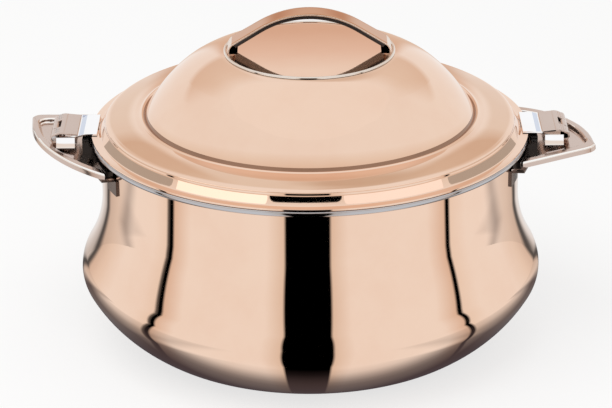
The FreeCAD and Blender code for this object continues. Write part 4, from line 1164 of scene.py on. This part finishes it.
def floor_light(nodes, x, y):
    """How light the metal sees the floor: dark by the pot, and darkest right before it."""
    y = nodes.calc("SUBTRACT", y, SHADE.behind)
    share = nodes.share(nodes.length(x, y), SHADE.start, SHADE.end)
    front = nodes.ramp(share, [(0.067, grey(0.0)), (0.16, grey(0.12)), (0.193, grey(0.22)),
                               (0.227, grey(0.42)), (0.28, grey(0.82)), (0.33, grey(1.0))])
    beside = nodes.ramp(share, [(0.067, grey(0.10)), (0.307, grey(0.38)), (0.42, grey(0.56)),
                                (0.533, grey(0.70)), (0.86, grey(0.85)), (1.0, grey(1.0))])
    beside = nodes.mixed(nodes.spread(y, -0.11, -0.045), beside,
                         nodes.mixed(1.0, beside, grey(0.52), "MULTIPLY"))
    beside = nodes.mixed(nodes.spread(y, -0.07, -0.01), beside, grey(0.88))
    return nodes.mixed(nodes.spread(nodes.calc("ABSOLUTE", x), 0.10, 0.155), front, beside)


def floor_shader(nodes):
    """White paper that keeps shadows. Polished metal sees the tent's seams on it instead."""
    x, y, _ = nodes.places()
    paper = nodes.add("ShaderNodeBsdfDiffuse")
    paper.inputs["Color"].default_value = grey(0.86)
    lit = nodes.either(0.72, paper.outputs[0], nodes.light(EMISSION, grey(1.0)))
    seen = nodes.mixed(floor_light(nodes, x, y), (0.072, 0.058, 0.066, 1.0), tent_tone(nodes))
    return nodes.either(nodes.add("ShaderNodeLightPath").outputs["Is Glossy Ray"], lit,
                        nodes.light(EMISSION, seen))


def lay_floor():
    mesh = bmesh.new()
    bmesh.ops.create_circle(mesh, cap_ends=True, cap_tris=False, segments=96, radius=6.0)
    as_object("floor", mesh, glowing("floor", floor_shader))


def light_studio():
    """A white room, a little softer as light than as a background."""
    world = bpy.data.worlds.new("studio")
    bpy.context.scene.world = world
    world.use_nodes = True
    nodes = Nodes(world.node_tree)
    path = nodes.add("ShaderNodeLightPath").outputs
    seen = nodes.calc("MAXIMUM", path["Is Camera Ray"],
                      nodes.calc("MAXIMUM", path["Is Glossy Ray"], path["Is Transmission Ray"]))
    room = nodes.either(seen, nodes.light(BACKGROUND, (0.98, 0.97, 0.96, 1.0), 0.8),
                        nodes.light(BACKGROUND, grey(1.0)))
    nodes.put(nodes.add("ShaderNodeOutputWorld").inputs[0], room)


def hang_lamp():
    """One large soft lamp above and before the pot, for the shadow on the floor."""
    lamp = bpy.data.lights.new("soft_lamp", "AREA")
    lamp.shape = "RECTANGLE"
    lamp.size, lamp.size_y = 1.6, 1.2
    lamp.energy = 14.0
    holder = bpy.data.objects.new("soft_lamp", lamp)
    holder.location = (-0.5, -0.6, 1.7)
    holder.rotation_euler = (Vector((0, 0, 0.1)) - holder.location).to_track_quat("-Z", "Y").to_euler()
    holder.visible_glossy = False
    bpy.context.scene.collection.objects.link(holder)


# ---- the whole object

bpy.context.scene.view_settings.view_transform = "Standard"
place_camera()
light_studio()
hang_lamp()
pitch_tent()
hang_strips()
lay_floor()
make_outer_shell()
make_inner_bowl()
make_lid_shell()
make_lid_dish()
make_grip()
make_grip_strip()
make_lid_liner()
make_seal()
for side_name in SIDES:
    make_handle_plate(side_name)
    make_clip_hook(side_name)
    make_clip_lever(side_name)
    make_clip_cheeks(side_name)
dress_plain_nodes()
